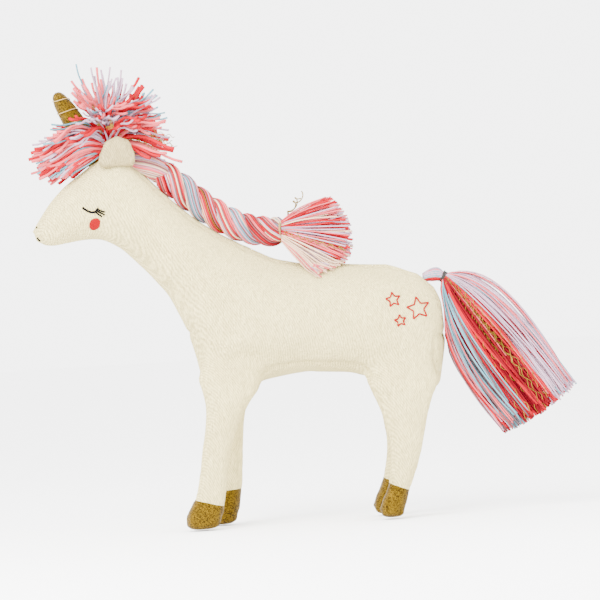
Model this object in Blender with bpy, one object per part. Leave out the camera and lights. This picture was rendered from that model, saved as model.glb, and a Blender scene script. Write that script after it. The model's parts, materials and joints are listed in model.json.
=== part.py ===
# Plush unicorn, standing.  Metres, +Z up, head towards -X, tail towards +X.
# The toy's left side faces -Y.  The origin is on the floor, under the middle
# of the toy's box.  Covers are thin cloth shells around separate fillings.

import math

import bmesh
import bpy
from mathutils import Quaternion, Vector

# Overall sizes
nose_to_rump = 0.323
poll_height = 0.301

# Cloth, seams and fits
cloth = 0.0012
seam_gap = 0.0005
fit_gap = 0.0004
free_gap = 0.0015
thread = 0.0006
top_gusset_width = 0.020
section_power = 2.3
body_sides = 16
leg_sides = 10

# Legs: spacing across, and girth where each one is even
leg_spread = 0.0235
front_hip_drop = 0.0304
rear_hip_drop = 0.0312
front_leg_length = 0.0282
front_leg_width = 0.0284
rear_leg_length = 0.0292
rear_leg_width = 0.0280
hip_ratio = 1.10
hip_gap = 0.0006
front_hoof_height = 0.0222
rear_hoof_height = 0.0245

# Head trim
horn_length = 0.0575
horn_base_radius = 0.0088
horn_tip_radius = 0.0026
horn_lean = 29.0
horn_flex = 10.0
horn_thread_turns = 3
horn_seam_allowance = 0.0005
ear_width = 0.0270
ear_height = 0.0235
ear_puff = 0.0046
ear_spacing = 0.0195
ear_turn = 20.0
ear_lean = 12.0
ear_swing_in = 12.0
ear_swing_out = 30.0
forelock_length = 0.036
forelock_width = 0.036
forelock_height = 0.042

# Plaited mane
plait_half_width = 0.0090
plait_pitch = 0.034
plait_turns = 3
gather_radius = 0.0080
plait_rise_end = 0.0195
plait_side = 0.006
tassel_length = 0.046
tassel_end_height = 0.0235
tassel_end_width = 0.0165
tassel_drape = 0.016
tassel_fall = 0.004
tassel_start = 0.006
tie_thread = 0.0014
gold_curl_height = 0.016
gold_curl_lean = 0.012
gold_curl_radius = 0.0024
gold_curl_turns = 2.5

# Tail
tail_loop_radius = 0.0044
tail_loop_length = 0.0100
tail_length = 0.122
tail_end_height = 0.033
tail_end_width = 0.019
tail_angle = 57.3

# Embroidery
stitch_width = 0.0012
cheek_radius = 0.0044
star_radii = (0.0063, 0.0094, 0.0052)

# The body's side outline, from nose to rump.  Each row gives a section's
# place along the toy and its middle height, as shares of the overall sizes,
# its half depth as a share of the poll height, its half width in metres and
# its backward lean in degrees.
body_rows = (
    (0.017, 0.794, 0.031, 0.0095, 9),
    (0.043, 0.808, 0.058, 0.0150, 10),
    (0.080, 0.828, 0.085, 0.0195, 13),
    (0.123, 0.851, 0.105, 0.0230, 16),
    (0.168, 0.872, 0.122, 0.0255, 15),
    (0.208, 0.876, 0.129, 0.0265, 16),
    (0.251, 0.834, 0.116, 0.0270, 16),
    (0.304, 0.777, 0.121, 0.0275, 12),
    (0.350, 0.722, 0.126, 0.0290, 11),
    (0.393, 0.654, 0.152, 0.0320, 10),
    (0.433, 0.569, 0.203, 0.0355, 10),
    (0.500, 0.538, 0.195, 0.0380, 8),
    (0.578, 0.529, 0.165, 0.0390, 6),
    (0.669, 0.526, 0.149, 0.0390, 4),
    (0.765, 0.518, 0.150, 0.0395, 4),
    (0.855, 0.499, 0.158, 0.0390, 6),
    (0.925, 0.472, 0.157, 0.0355, 6),
    (0.964, 0.450, 0.138, 0.0290, 6),
    (0.983, 0.439, 0.110, 0.0210, 5),
)
nose_tip = (0.0, 0.795)
rump_tip = (1.0, 0.4445)

# A leg's outline, from inside the body down to the sole.  Each row gives the
# height as a share of the hip height, the middle's place in front of (-) or
# behind (+) the hip in metres, and the half length and half width as shares
# of the leg's own half length and half width.
front_leg_rows = (
    (1.80, 0.0085, 1.35, 0.55),
    (1.52, 0.0093, 2.05, 1.00),
    (1.35, 0.0084, 1.70, 1.13),
    (1.22, 0.0050, 1.33, 1.12),
    (1.03, 0.0004, 1.11, 1.09),
    (0.79, -0.0049, 1.00, 1.00),
    (0.58, -0.0087, 0.92, 0.93),
    (0.385, -0.0120, 0.92, 0.91),
    (0.240, -0.0167, 1.04, 0.97),
    (0.147, -0.0195, 1.11, 0.98),
    (0.065, -0.0208, 1.03, 0.88),
    (0.0, -0.0208, 0.76, 0.62),
)
rear_leg_rows = (
    (1.94, 0.0031, 1.45, 0.80),
    (1.57, -0.0008, 2.18, 1.08),
    (1.394, -0.0008, 1.76, 1.15),
    (1.187, -0.0005, 1.42, 1.13),
    (0.956, -0.0002, 1.16, 1.10),
    (0.728, -0.0015, 1.00, 1.00),
    (0.551, -0.0039, 0.90, 0.92),
    (0.382, -0.0071, 0.82, 0.86),
    (0.260, -0.0105, 0.86, 0.88),
    (0.153, -0.0132, 0.90, 0.88),
    (0.068, -0.0141, 0.84, 0.80),
    (0.0, -0.0141, 0.64, 0.58),
)
front_hip_share = 0.443
rear_hip_share = 0.886
front_hoof_slope = -0.276
rear_hoof_slope = -0.40

# Places on the outline, as shares of the overall sizes
horn_share = 0.180
ear_place = (0.235, 0.949)
forelock_place = (0.222, 1.030)
gather_share = 0.318
plait_share = 0.360
tie_share = 0.612
tail_share = 0.960
eye_corner = (0.1409, 0.8445)
eye_low = (0.1600, 0.8295)
eye_back = (0.1795, 0.8395)
lashes = (
    ((0.1745, 0.8345), (0.1947, 0.8285)),
    ((0.1710, 0.8295), (0.1928, 0.8212)),
    ((0.1655, 0.8290), (0.1862, 0.8175)),
)
cheek_place = (0.1680, 0.7995)
nostril_place = (0.0165, 0.8060)
mouth_ends = ((0.0215, 0.7720), (0.0300, 0.7540))
star_places = ((0.8712, 0.5588), (0.9291, 0.5326), (0.8852, 0.5046))

up = Vector((0.0, 0.0, 1.0))
side = Vector((0.0, 1.0, 0.0))
along = Vector((1.0, 0.0, 0.0))
far = 0.6
merge_distance = 0.000003


def clear_scene():
    for obj in list(bpy.data.objects):
        bpy.data.objects.remove(obj, do_unlink=True)


def make_material(name, colour, roughness, metallic=0.0):
    mat = bpy.data.materials.new(name)
    mat.use_nodes = True
    shader = mat.node_tree.nodes["Principled BSDF"]
    shader.inputs["Base Color"].default_value = (*colour, 1.0)
    shader.inputs["Roughness"].default_value = roughness
    shader.inputs["Metallic"].default_value = metallic
    return mat


def mesh_object(name, bm, helper=False):
    bmesh.ops.recalc_face_normals(bm, faces=bm.faces)
    bmesh.ops.triangulate(bm, faces=[face for face in bm.faces if len(face.verts) == 4])
    mesh = bpy.data.meshes.new(name)
    bm.to_mesh(mesh)
    bm.free()
    obj = bpy.data.objects.new(name, mesh)
    bpy.context.scene.collection.objects.link(obj)
    if helper:
        obj.hide_render = True
        obj.display_type = "WIRE"
    return obj


def remove(*objects):
    for obj in objects:
        bpy.data.objects.remove(obj, do_unlink=True)


def duplicate(name, source):
    obj = bpy.data.objects.new(name, source.data.copy())
    bpy.context.scene.collection.objects.link(obj)
    return obj


def combine(target, tool, operation):
    """Applies one exact Boolean to target and leaves tool as it is."""
    modifier = target.modifiers.new("cut", "BOOLEAN")
    modifier.operation = operation
    modifier.solver = "EXACT"
    modifier.object = tool
    depsgraph = bpy.context.evaluated_depsgraph_get()
    mesh = bpy.data.meshes.new_from_object(target.evaluated_get(depsgraph))
    target.modifiers.clear()
    bm = bmesh.new()
    bm.from_mesh(mesh)
    bmesh.ops.remove_doubles(bm, verts=bm.verts, dist=merge_distance)
    bmesh.ops.dissolve_degenerate(bm, edges=bm.edges, dist=merge_distance)
    bmesh.ops.dissolve_limit(bm, angle_limit=math.radians(0.3), verts=bm.verts, edges=bm.edges)
    bmesh.ops.triangulate(bm, faces=bm.faces)
    bm.to_mesh(mesh)
    bm.free()
    target.data = mesh
    return target


def cut_with(target, *tools):
    for tool in tools:
        combine(target, tool, "DIFFERENCE")
    return target


def ring_points(centre, first, second, count, power=2.0):
    """A closed oval through centre +- first and centre +- second."""
    points = []
    for i in range(count):
        angle = 2 * math.pi * i / count
        c = math.cos(angle)
        s = math.sin(angle)
        a = math.copysign(abs(c) ** (2 / power), c)
        b = math.copysign(abs(s) ** (2 / power), s)
        points.append(centre + first * a + second * b)
    return points


def loft(name, rings, start=None, end=None, helper=True):
    """Skins a row of rings; each end closes flat or runs to a tip point."""
    bm = bmesh.new()
    rows = [[bm.verts.new(p) for p in ring] for ring in rings]
    count = len(rows[0])
    for near, next_row in zip(rows, rows[1:]):
        for i in range(count):
            j = (i + 1) % count
            bm.faces.new((near[i], near[j], next_row[j], next_row[i]))
    for row, tip in ((rows[0], start), (rows[-1], end)):
        if tip is None:
            bm.faces.new(row)
            continue
        tip_vert = bm.verts.new(tip)
        for i in range(count):
            bm.faces.new((row[i], row[(i + 1) % count], tip_vert))
    return mesh_object(name, bm, helper)


def prism(name, outline, y_from, y_to):
    """Extrudes a side outline of (x, z) points across the toy."""
    bm = bmesh.new()
    near = [bm.verts.new((x, y_from, z)) for x, z in outline]
    away = [bm.verts.new((x, y_to, z)) for x, z in outline]
    count = len(outline)
    for i in range(count):
        j = (i + 1) % count
        bm.faces.new((near[i], near[j], away[j], away[i]))
    bm.faces.new(near)
    bm.faces.new(away)
    return mesh_object(name, bm, helper=True)


def offset_copy(name, source, distance):
    """A copy of a closed shape, grown (+) or shrunk (-) along its normals."""
    obj = duplicate(name, source)
    bm = bmesh.new()
    bm.from_mesh(obj.data)
    bm.normal_update()
    moves = [(v, v.normal * distance * v.calc_shell_factor()) for v in bm.verts]
    for vert, move in moves:
        vert.co += move
    bm.to_mesh(obj.data)
    bm.free()
    obj.hide_render = True
    obj.display_type = "WIRE"
    return obj


def tube(name, points, radius, sides, helper=False):
    """A round tube along points; radius is one value or one for each point."""
    radii = radius if isinstance(radius, (list, tuple)) else [radius] * len(points)
    rings = []
    last_normal = None
    for i, point in enumerate(points):
        ahead = points[min(i + 1, len(points) - 1)]
        behind = points[max(i - 1, 0)]
        direction = (ahead - behind).normalized()
        guide = last_normal if last_normal else direction.orthogonal()
        normal = (guide - direction * guide.dot(direction)).normalized()
        last_normal = normal
        other = direction.cross(normal)
        rings.append(ring_points(point, normal * radii[i], other * radii[i], sides))
    return loft(name, rings, helper=helper)


def rounded_start(points, radii, first, reach):
    """Adds a half-round nose before the first point of a tube."""
    direction = (points[1] - points[0]).normalized()
    lead_points = []
    lead_radii = []
    for angle in (85, 60, 30):
        lead_points.append(points[0] - direction * reach * math.sin(math.radians(angle)))
        lead_radii.append(first * math.cos(math.radians(angle)))
    return lead_points + points, lead_radii + radii


def place(share):
    """A point on the middle plane from its shares of the overall sizes."""
    return Vector((share[0] * nose_to_rump, 0.0, share[1] * poll_height))


def section(row):
    share_x, share_z, share_depth, width, lean = row
    centre = place((share_x, share_z))
    tilt = math.radians(lean)
    upward = Vector((math.sin(tilt), 0.0, math.cos(tilt)))
    return centre, upward * share_depth * poll_height, width


def outline_point(share_x, sign):
    """The point on the top (+1) or bottom (-1) line, and the line's run."""
    line = []
    for row in body_rows:
        centre, upward, _ = section(row)
        line.append(centre + upward * sign)
    x = share_x * nose_to_rump
    for a, b in zip(line, line[1:]):
        if b.x >= x or b is line[-1]:
            break
    t = (x - a.x) / (b.x - a.x)
    return a.lerp(b, t), (b - a).normalized()


def crest(share_x):
    """The point on the top line at a share of the length, and its normal."""
    point, run = outline_point(share_x, 1)
    return point, Vector((-run.z, 0.0, run.x))


def mane_path(start, end, count):
    """Points above the top line that leave it smoothly towards the tie."""
    points = []
    for i in range(count):
        share_x = start + (end - start) * i / (count - 1)
        t = max(0.0, (share_x - plait_share) / (tie_share - plait_share))
        below, _ = crest(share_x - 0.012)
        above, _ = crest(share_x + 0.012)
        run = (above - below).normalized()
        normal = Vector((-run.z, 0.0, run.x))
        base = (below + above) / 2
        low = plait_half_width + free_gap
        rise = low + (plait_rise_end - low) * t ** 3
        points.append(base + normal * rise - side * plait_side * t ** 2)
    return points


class Leg:
    """The sizes and the hip of one pair of legs."""

    def __init__(self, label, rows, hip_share, hip_drop, length, width, hoof_height, hoof_slope):
        self.label = label
        self.rows = rows
        belly, _ = outline_point(hip_share, -1)
        self.hip = Vector((hip_share * nose_to_rump, 0.0, belly.z - hip_drop))
        self.length = length
        self.width = width
        self.hoof_height = hoof_height
        self.hoof_slope = hoof_slope
        self.hip_radius = hip_ratio * self.half_length_at(self.hip.z)

    def half_length_at(self, height):
        share = height / self.hip.z
        for high, low in zip(self.rows, self.rows[1:]):
            if low[0] <= share <= high[0]:
                t = (share - low[0]) / (high[0] - low[0])
                return self.length / 2 * (low[2] + (high[2] - low[2]) * t)
        return self.length / 2

    def middle_at(self, height):
        share = height / self.hip.z
        for high, low in zip(self.rows, self.rows[1:]):
            if low[0] <= share <= high[0]:
                t = (share - low[0]) / (high[0] - low[0])
                return self.hip.x + low[1] + (high[1] - low[1]) * t
        return self.hip.x

    def form(self, name, y):
        rings = []
        for share, shift, length, width in self.rows:
            centre = Vector((self.hip.x + shift, y, share * self.hip.z))
            first = along * length * self.length / 2
            second = side * width * self.width / 2
            rings.append(ring_points(centre, first, second, leg_sides, section_power))
        return loft(name, rings)

    def seam_height(self, x):
        """The slanting seam between the leg and its hoof."""
        return self.hoof_height + self.hoof_slope * (x - self.middle_at(self.hoof_height))

    def dome(self, radius, bottom):
        """The leg's side region: a dome about the hip, open downwards."""
        reach = 3 * self.length
        outline = []
        steps = 16
        for i in range(steps + 1):
            angle = math.pi * i / steps
            outline.append((self.hip.x + radius * math.cos(angle), self.hip.z + radius * math.sin(angle)))
        left = self.hip.x - reach
        right = self.hip.x + reach
        outline += [(left, self.hip.z), (left, bottom(left)), (right, bottom(right)), (right, self.hip.z)]
        return outline


front_leg = Leg("front", front_leg_rows, front_hip_share, front_hip_drop,
                front_leg_length, front_leg_width, front_hoof_height, front_hoof_slope)
rear_leg = Leg("rear", rear_leg_rows, rear_hip_share, rear_hip_drop,
               rear_leg_length, rear_leg_width, rear_hoof_height, rear_hoof_slope)
hands = (("left", -1), ("right", 1))


def below_floor(x):
    return -0.01


def body_loft():
    rings = []
    for row in body_rows:
        centre, upward, width = section(row)
        rings.append(ring_points(centre, side * width, upward, body_sides, section_power))
    return loft("body_form", rings, place(nose_tip), place(rump_tip))


def merged(name, parts, distance):
    """Joins the body and leg forms, all moved by distance, into one solid."""
    result = offset_copy(name, parts[0], distance)
    for part in parts[1:]:
        tool = offset_copy("join", part, distance)
        combine(result, tool, "UNION")
        remove(tool)
    return result


def middle_line(first, last, drop):
    points = []
    for row in body_rows[first:last]:
        centre, _, _ = section(row)
        points.append((centre.x, centre.z - drop))
    return points


def top_region(half_width):
    """Everything above the middle line, as wide as the top gusset."""
    nose = place(nose_tip)
    rump = place(rump_tip)
    outline = [(nose.x - far, nose.z)] + middle_line(0, None, 0.0)
    outline += [(rump.x + far, rump.z), (rump.x + far, far), (nose.x - far, far)]
    return prism("top_region", outline, -half_width, half_width)


def belly_region(half_width, drop, chest_shift):
    """Everything under the barrel, as wide as the space between leg seams."""
    rump = place(rump_tip)
    chest_row = 10
    line = middle_line(chest_row, None, drop)
    chest_x, chest_z = line[0]
    outline = [(chest_x - far, chest_z - far * 0.5 - chest_shift)]
    outline += [(chest_x, chest_z - chest_shift)] + line[1:]
    outline += [(rump.x + far, rump.z - drop), (rump.x + far, -far), (chest_x - far, -far)]
    return prism("belly_region", outline, -half_width, half_width)


def hip_cutters():
    cutters = []
    for leg in (front_leg, rear_leg):
        outline = leg.dome(leg.hip_radius + hip_gap, below_floor)
        for _, sign in hands:
            inner = sorted((0.0, sign * far))
            cutters.append(prism("hip_cut", outline, *inner))
    return cutters


def make_covers_and_filling(body, legs):
    """Four cloth panels around one filling, cut open at the four hips."""
    forms = [body] + legs
    shell = merged("shell", forms, 0.0)
    hollow = merged("hollow", forms, -cloth)
    cutters = hip_cutters()
    filling = merged("torso_fill", forms, -cloth - fit_gap)
    cut_with(shell, hollow, *cutters)
    cut_with(filling, *cutters)

    half_top = top_gusset_width / 2
    gusset = duplicate("top_gusset", shell)
    region = top_region(half_top)
    combine(gusset, region, "INTERSECT")
    remove(region)

    belly = duplicate("belly_gusset", shell)
    region = belly_region(leg_spread - seam_gap / 2, seam_gap, seam_gap)
    combine(belly, region, "INTERSECT")
    remove(region)

    wide_top = top_region(half_top + seam_gap)
    wide_belly = belly_region(leg_spread + seam_gap / 2, -seam_gap / 2, -seam_gap / 2)
    for label, sign in hands:
        panel = duplicate(label + "_side_panel", shell)
        span = sorted((sign * seam_gap / 2, sign * far))
        square = [(-far, -far), (2 * far, -far), (2 * far, far), (-far, far)]
        half = prism("half", square, *span)
        combine(panel, half, "INTERSECT")
        cut_with(panel, wide_top, wide_belly)
        remove(half)
    remove(wide_top, wide_belly, shell, hollow, *cutters)
    filling.hide_render = False
    filling.display_type = "TEXTURED"


def make_leg(leg, form, label, sign):
    """One leg below its hip: two cloth halves, two hoof halves, a filling."""
    name = leg.label + "_" + label + "_"
    hollow = offset_copy("hollow", form, -cloth)
    shell = duplicate("shell", form)
    combine(shell, hollow, "DIFFERENCE")
    seam_y = sign * leg_spread
    halves = (("outer", sorted((seam_y + sign * seam_gap / 2, sign * far))),
              ("inner", sorted((seam_y - sign * seam_gap / 2, 0.0))))

    def seam(x):
        return leg.seam_height(x) + seam_gap

    leg_side = leg.dome(leg.hip_radius, seam)
    reach = 3 * leg.length
    left = leg.hip.x - reach
    right = leg.hip.x + reach
    hoof_side = [(left, leg.seam_height(left)), (right, leg.seam_height(right)),
                 (right, -far), (left, -far)]
    for half, span in halves:
        for kind, outline in (("leg_", leg_side), ("hoof_", hoof_side)):
            piece = duplicate(name + kind + half, shell)
            region = prism("region", outline, *span)
            combine(piece, region, "INTERSECT")
            remove(region)
    filling = offset_copy(name + "leg_fill", form, -cloth - fit_gap)
    region = prism("region", leg.dome(leg.hip_radius, below_floor), *sorted((0.0, sign * far)))
    combine(filling, region, "INTERSECT")
    filling.hide_render = False
    filling.display_type = "TEXTURED"
    remove(region, shell, hollow)


def horn_frame():
    """Where the horn stands, its direction and its two cross directions."""
    base, _ = crest(horn_share)
    tilt = math.radians(horn_lean)
    direction = Vector((-math.sin(tilt), 0.0, math.cos(tilt)))
    across = Vector((math.cos(tilt), 0.0, math.sin(tilt)))
    return base + direction * fit_gap, direction, across


def horn_radius(t):
    """The horn's radius at a share of its length, rounded at the tip."""
    straight = horn_base_radius + (horn_tip_radius - horn_base_radius) * t
    round_from = 0.9
    if t <= round_from:
        return straight
    return straight * math.sqrt(max(0.0, 1 - ((t - round_from) / (1 - round_from)) ** 2))


def horn_rings(start_height, shrink, end_cut):
    base, direction, across = horn_frame()
    rings = []
    length = horn_length - end_cut
    start = start_height / length
    for step in (0.0, 0.25, 0.5, 0.75, 0.9, 0.95, 0.985):
        t = start + (1 - start) * step
        centre = base + direction * length * t
        radius = max(horn_radius(t) - shrink, 0.0006)
        rings.append(ring_points(centre, across * radius, side * radius, 16))
    return rings, base + direction * length


def make_horn(body):
    """A stuffed horn that stands on its seam, wound with a pale thread."""
    base, direction, across = horn_frame()
    rim = horn_base_radius * math.tan(math.radians(horn_flex)) + fit_gap
    rings, tip = horn_rings(rim, 0.0, 0.0)
    cover = loft("horn_cover", rings, None, tip, helper=False)
    rings, tip = horn_rings(rim - horn_seam_allowance, cloth, cloth)
    bore = loft("bore", rings, None, tip)
    combine(cover, bore, "DIFFERENCE")
    remove(bore)
    rings, tip = horn_rings(rim + horn_seam_allowance, cloth + fit_gap, cloth + fit_gap)
    filling = loft("horn_fill", rings, base + direction * free_gap, tip, helper=False)

    points = []
    steps = 14 * horn_thread_turns
    for i in range(steps + 1):
        t = 0.12 + 0.68 * i / steps
        angle = 2 * math.pi * horn_thread_turns * i / steps
        radius = horn_radius(t) + thread + fit_gap
        centre = base + direction * horn_length * t
        points.append(centre + (across * math.cos(angle) + side * math.sin(angle)) * radius)
    tube("horn_thread", points, thread, 5)

    skin = offset_copy("skin", body, fit_gap)
    cut_with(cover, skin)
    cut_with(filling, skin)
    remove(skin)
    return base


def ear_frame(sign):
    """The middle of an ear's seam, its run along the head and its rise."""
    centre = place(ear_place)
    centre.y = sign * ear_spacing
    turn = math.radians(ear_turn)
    run = Vector((math.cos(turn), -sign * math.sin(turn), 0.0))
    outward = Vector((math.sin(turn), sign * math.cos(turn), 0.0))
    lean = math.radians(ear_lean)
    rise = up * math.cos(lean) + outward * math.sin(lean)
    thick = outward * math.cos(lean) - up * math.sin(lean)
    return centre, run, rise, thick


def ear_outline(shrink):
    """A rounded triangle that stands on a straight seam."""
    steps = 7
    half = []
    for i in range(steps + 1):
        v = ear_height * i / steps
        w = ear_width / 2 * math.sqrt(max(0.0, 1 - (v / ear_height) ** 1.7))
        half.append((w, v))
    points = half[:-1] + [(0.0, ear_height)] + [(-w, v) for w, v in reversed(half[:-1])]
    middle_v = ear_height * 0.4
    return [(u * shrink, middle_v + (v - middle_v) * shrink) for u, v in points]


def make_ear(label, sign, body):
    centre, run, rise, thick = ear_frame(sign)
    for face, way in (("front", 1), ("back", -1)):
        rings = []
        for shrink, height in ((1.0, 0.0), (0.92, 0.45), (0.72, 0.80), (0.35, 1.0)):
            push = way * (seam_gap / 2 + ear_puff * height)
            ring = [centre + run * u + rise * v + thick * push for u, v in ear_outline(shrink)]
            rings.append(ring)
        ear = loft(label + "_ear_" + face, rings, helper=False)
        # the seam edge is trimmed so that the ear clears the head as it flops
        for swing in (0.0, -ear_swing_in / 2, -ear_swing_in, ear_swing_out / 2, ear_swing_out):
            skin = offset_copy("skin", body, fit_gap)
            turn_about(skin, centre, run * -sign, -swing)
            cut_with(ear, skin)
            remove(skin)
    return centre


def turn_about(obj, centre, axis, degrees):
    """Turns an object's mesh about an axis through centre."""
    turn = Quaternion(axis, math.radians(degrees)).to_matrix()
    for vert in obj.data.vertices:
        vert.co = centre + turn @ (vert.co - centre)


def gather_frame():
    points = mane_path(gather_share, plait_share, 2)
    return points[0], points[1]


def make_forelock(body):
    """A ball of cut yarn on the poll, open around the horn and the ears."""
    centre = place(forelock_place)
    rings = []
    rows = 9
    for i in range(1, rows):
        angle = math.pi * i / rows
        height = math.cos(angle) * forelock_height
        spread = math.sin(angle)
        middle = centre + up * height
        first = along * forelock_length * spread
        rings.append(ring_points(middle, first, side * forelock_width * spread, 18))
    pole = up * forelock_height
    ball = loft("forelock", rings, centre + pole, centre - pole, helper=False)
    skin = offset_copy("skin", body, free_gap)
    base, direction, across = horn_frame()
    sweep = math.tan(math.radians(horn_flex))
    cone_rings = []
    for t in (-0.3, 0.0, 0.5, 1.1):
        radius = horn_radius(min(max(t, 0.0), 0.85)) + free_gap + thread * 3
        radius += horn_length * max(t, 0.0) * sweep
        point = base + direction * horn_length * t
        cone_rings.append(ring_points(point, across * radius, side * radius, 16))
    cone = loft("cone", cone_rings)
    cut_with(ball, skin, cone)
    for _, sign in hands:
        ear_centre, run, rise, thick = ear_frame(sign)
        sweep_room = ear_height * math.sin(math.radians(ear_swing_in + 3)) + ear_puff
        inner = sign * (abs(ear_centre.y) - sweep_room - free_gap)
        room_top = ear_centre.z + ear_height + free_gap * 2
        front = ear_centre.x - ear_width / 2 - free_gap * 2
        back = ear_centre.x + ear_width / 2 + free_gap * 2
        outline = [(front, 0.0), (back, 0.0), (back, room_top), (front, room_top)]
        room = prism("room", outline, *sorted((inner, sign * far)))
        cut_with(ball, room)
        remove(room)
    start, end = gather_frame()
    gather_room = tube("gather_room", [start - (end - start), start, end, end + (end - start)],
                       gather_radius + free_gap * 2, 12, helper=True)
    cut_with(ball, gather_room)
    remove(skin, cone, gather_room)
    return ball


def make_plait():
    """Three strands plaited flat along the crest, and their gathered root."""
    start, end = gather_frame()
    run = (end - start)
    points = [start, start + run * 0.5, end - run.normalized() * plait_half_width * 0.65]
    radii = [gather_radius, gather_radius * 1.02, gather_radius * 0.98]
    points, radii = rounded_start(points, radii, gather_radius, gather_radius)
    tube("mane_gather", points, radii, 12)

    steps = 11 * plait_turns
    path = mane_path(plait_share, tie_share, steps + 1)
    swing = plait_half_width * 0.58
    depth = plait_half_width * 0.50
    lines = []
    for strand in range(3):
        line = []
        for i, centre in enumerate(path):
            ahead = path[min(i + 1, steps)] - path[max(i - 1, 0)]
            run = ahead.normalized()
            outward = Vector((-run.z, 0.0, run.x))
            cross = run.cross(outward)
            phase = 2 * math.pi * (plait_turns * i / steps + strand / 3)
            # the strands cross side to side once a turn and dip twice
            line.append(centre + outward * swing * math.sin(phase) + cross * depth * math.sin(2 * phase))
        lines.append(line)
    # the strands are as thick as their closest crossing allows
    pairs = ((lines[0], lines[1]), (lines[1], lines[2]), (lines[2], lines[0]))
    closest = min((p - q).length for one, other in pairs for p in one for q in other)
    strand_radius = (closest - fit_gap) / 2 * 0.88
    for number, line in enumerate(lines, start=1):
        tube("mane_strand_%d" % number, line, strand_radius, 6)
    return path, strand_radius


def torus(name, centre, axis, ring_radius, tube_radius):
    first = axis.orthogonal().normalized()
    second = axis.cross(first).normalized()
    bm = bmesh.new()
    big = 18
    small = 6
    rows = []
    for i in range(big):
        angle = 2 * math.pi * i / big
        outward = first * math.cos(angle) + second * math.sin(angle)
        middle = centre + outward * ring_radius
        ring = ring_points(middle, outward * tube_radius, axis * tube_radius, small)
        rows.append([bm.verts.new(p) for p in ring])
    for i in range(big):
        near = rows[i]
        ahead = rows[(i + 1) % big]
        for j in range(small):
            k = (j + 1) % small
            bm.faces.new((near[j], near[k], ahead[k], ahead[j]))
    return mesh_object(name, bm)


def make_tassel(path, strand_radius, body):
    """The tie round the plait's end, its gold thread, and the cut ends."""
    end = path[-1]
    run = (path[-1] - path[-3]).normalized()
    ring_radius = plait_half_width * 0.58 + strand_radius + tie_thread + fit_gap
    torus("mane_tie", end - run * 2 * tie_thread, run, ring_radius, tie_thread)

    pivot = end + run * tassel_start
    tip = Vector((pivot.x + tassel_length, pivot.y - tassel_drape, pivot.z - tassel_fall))
    axis = tip - pivot
    direction = axis.normalized()
    rings = []
    for share, spread in ((0.0, 0.22), (0.12, 0.36), (0.35, 0.62), (0.7, 0.90), (1.0, 1.0)):
        middle = pivot + axis * share
        first = up - direction * up.dot(direction)
        second = direction.cross(first).normalized()
        rings.append(ring_points(middle, first.normalized() * tassel_end_height * spread,
                                 second * tassel_end_width * spread, 18))
    tassel = loft("mane_tassel", rings, pivot - direction * tassel_start / 2, None, helper=False)
    skin = offset_copy("skin", body, free_gap)
    cut_with(tassel, skin)
    remove(skin)

    # a curl of gold thread that stands on the tie
    foot = end - run * 2 * tie_thread + up * (ring_radius + tie_thread + thread + fit_gap)
    curl = []
    steps = 24
    for i in range(steps + 1):
        t = i / steps
        angle = 2 * math.pi * gold_curl_turns * t
        middle = foot + (up * gold_curl_height + along * gold_curl_lean) * t
        curl.append(middle + (along * math.cos(angle) + side * math.sin(angle)) * gold_curl_radius * t)
    tube("mane_gold_thread", curl, thread, 5)
    return pivot


def make_tail(body):
    """A sewn loop of yarn, its tie, and the skirt that hangs from it."""
    base, normal = crest(tail_share)
    angle = math.radians(tail_angle)
    run = Vector((math.cos(angle), 0.0, -math.sin(angle)))
    start = base + normal * (tail_loop_radius + free_gap)
    level = Vector((0.88, 0.0, -0.30)).normalized()
    knee = start + level * tail_loop_length * 0.5
    end = knee + (level + run).normalized() * tail_loop_length * 0.5
    points, radii = rounded_start([start, knee, end], [tail_loop_radius] * 3,
                                  tail_loop_radius, tail_loop_radius)
    tube("tail_loop", points, radii, 10)
    torus("tail_tie", (knee + end) / 2, (end - knee).normalized(),
          tail_loop_radius + tie_thread + fit_gap, tie_thread)

    pivot = end + (end - knee).normalized() * (tail_loop_radius + free_gap)
    rings = []
    across = Vector((-run.z, 0.0, run.x))
    for share, spread in ((0.0, 0.13), (0.03, 0.20), (0.10, 0.37), (0.22, 0.54),
                          (0.40, 0.75), (0.62, 0.91), (0.80, 1.0), (1.0, 0.97)):
        middle = pivot + run * tail_length * share
        rings.append(ring_points(middle, across * tail_end_height * spread,
                                 side * tail_end_width * spread, 18))
    skirt = loft("tail_skirt", rings, pivot - run * tail_loop_radius * 0.8, None, helper=False)
    skin = offset_copy("skin", body, free_gap)
    cut_with(skirt, skin)
    remove(skin)
    return start, pivot


def stroke(points, width):
    """The outline of a band of even width along a few side points."""
    upper = []
    lower = []
    for i, point in enumerate(points):
        ahead = points[min(i + 1, len(points) - 1)]
        behind = points[max(i - 1, 0)]
        run = (ahead - behind).normalized()
        normal = Vector((-run.z, 0.0, run.x)) * width / 2
        upper.append(point + normal)
        lower.append(point - normal)
    return [(p.x, p.z) for p in upper + lower[::-1]]


def star_outline(centre, radius):
    points = []
    for i in range(10):
        angle = math.pi / 2 + math.pi * i / 5
        reach = radius if i % 2 == 0 else radius * 0.45
        points.append((centre.x + reach * math.cos(angle), centre.z + reach * math.sin(angle)))
    return points


def embroider(name, shell, outlines, sign, holes=()):
    """Thread laid on the cloth inside a side outline, following its curve."""
    shape = None
    for number, outline in enumerate(outlines):
        depth = far * (0.5 + 0.01 * number)
        piece = prism("outline", outline, *sorted((sign * 0.001, sign * depth)))
        if shape:
            combine(shape, piece, "UNION")
            remove(piece)
        else:
            shape = piece
    for outline in holes:
        hole = prism("hole", outline, -far, far)
        combine(shape, hole, "DIFFERENCE")
        remove(hole)
    patch = duplicate(name, shell)
    combine(patch, shape, "INTERSECT")
    remove(shape)


def disc_outline(centre, radius, count):
    points = ring_points(centre, along * radius, up * radius, count)
    return [(p.x, p.z) for p in points]


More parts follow.
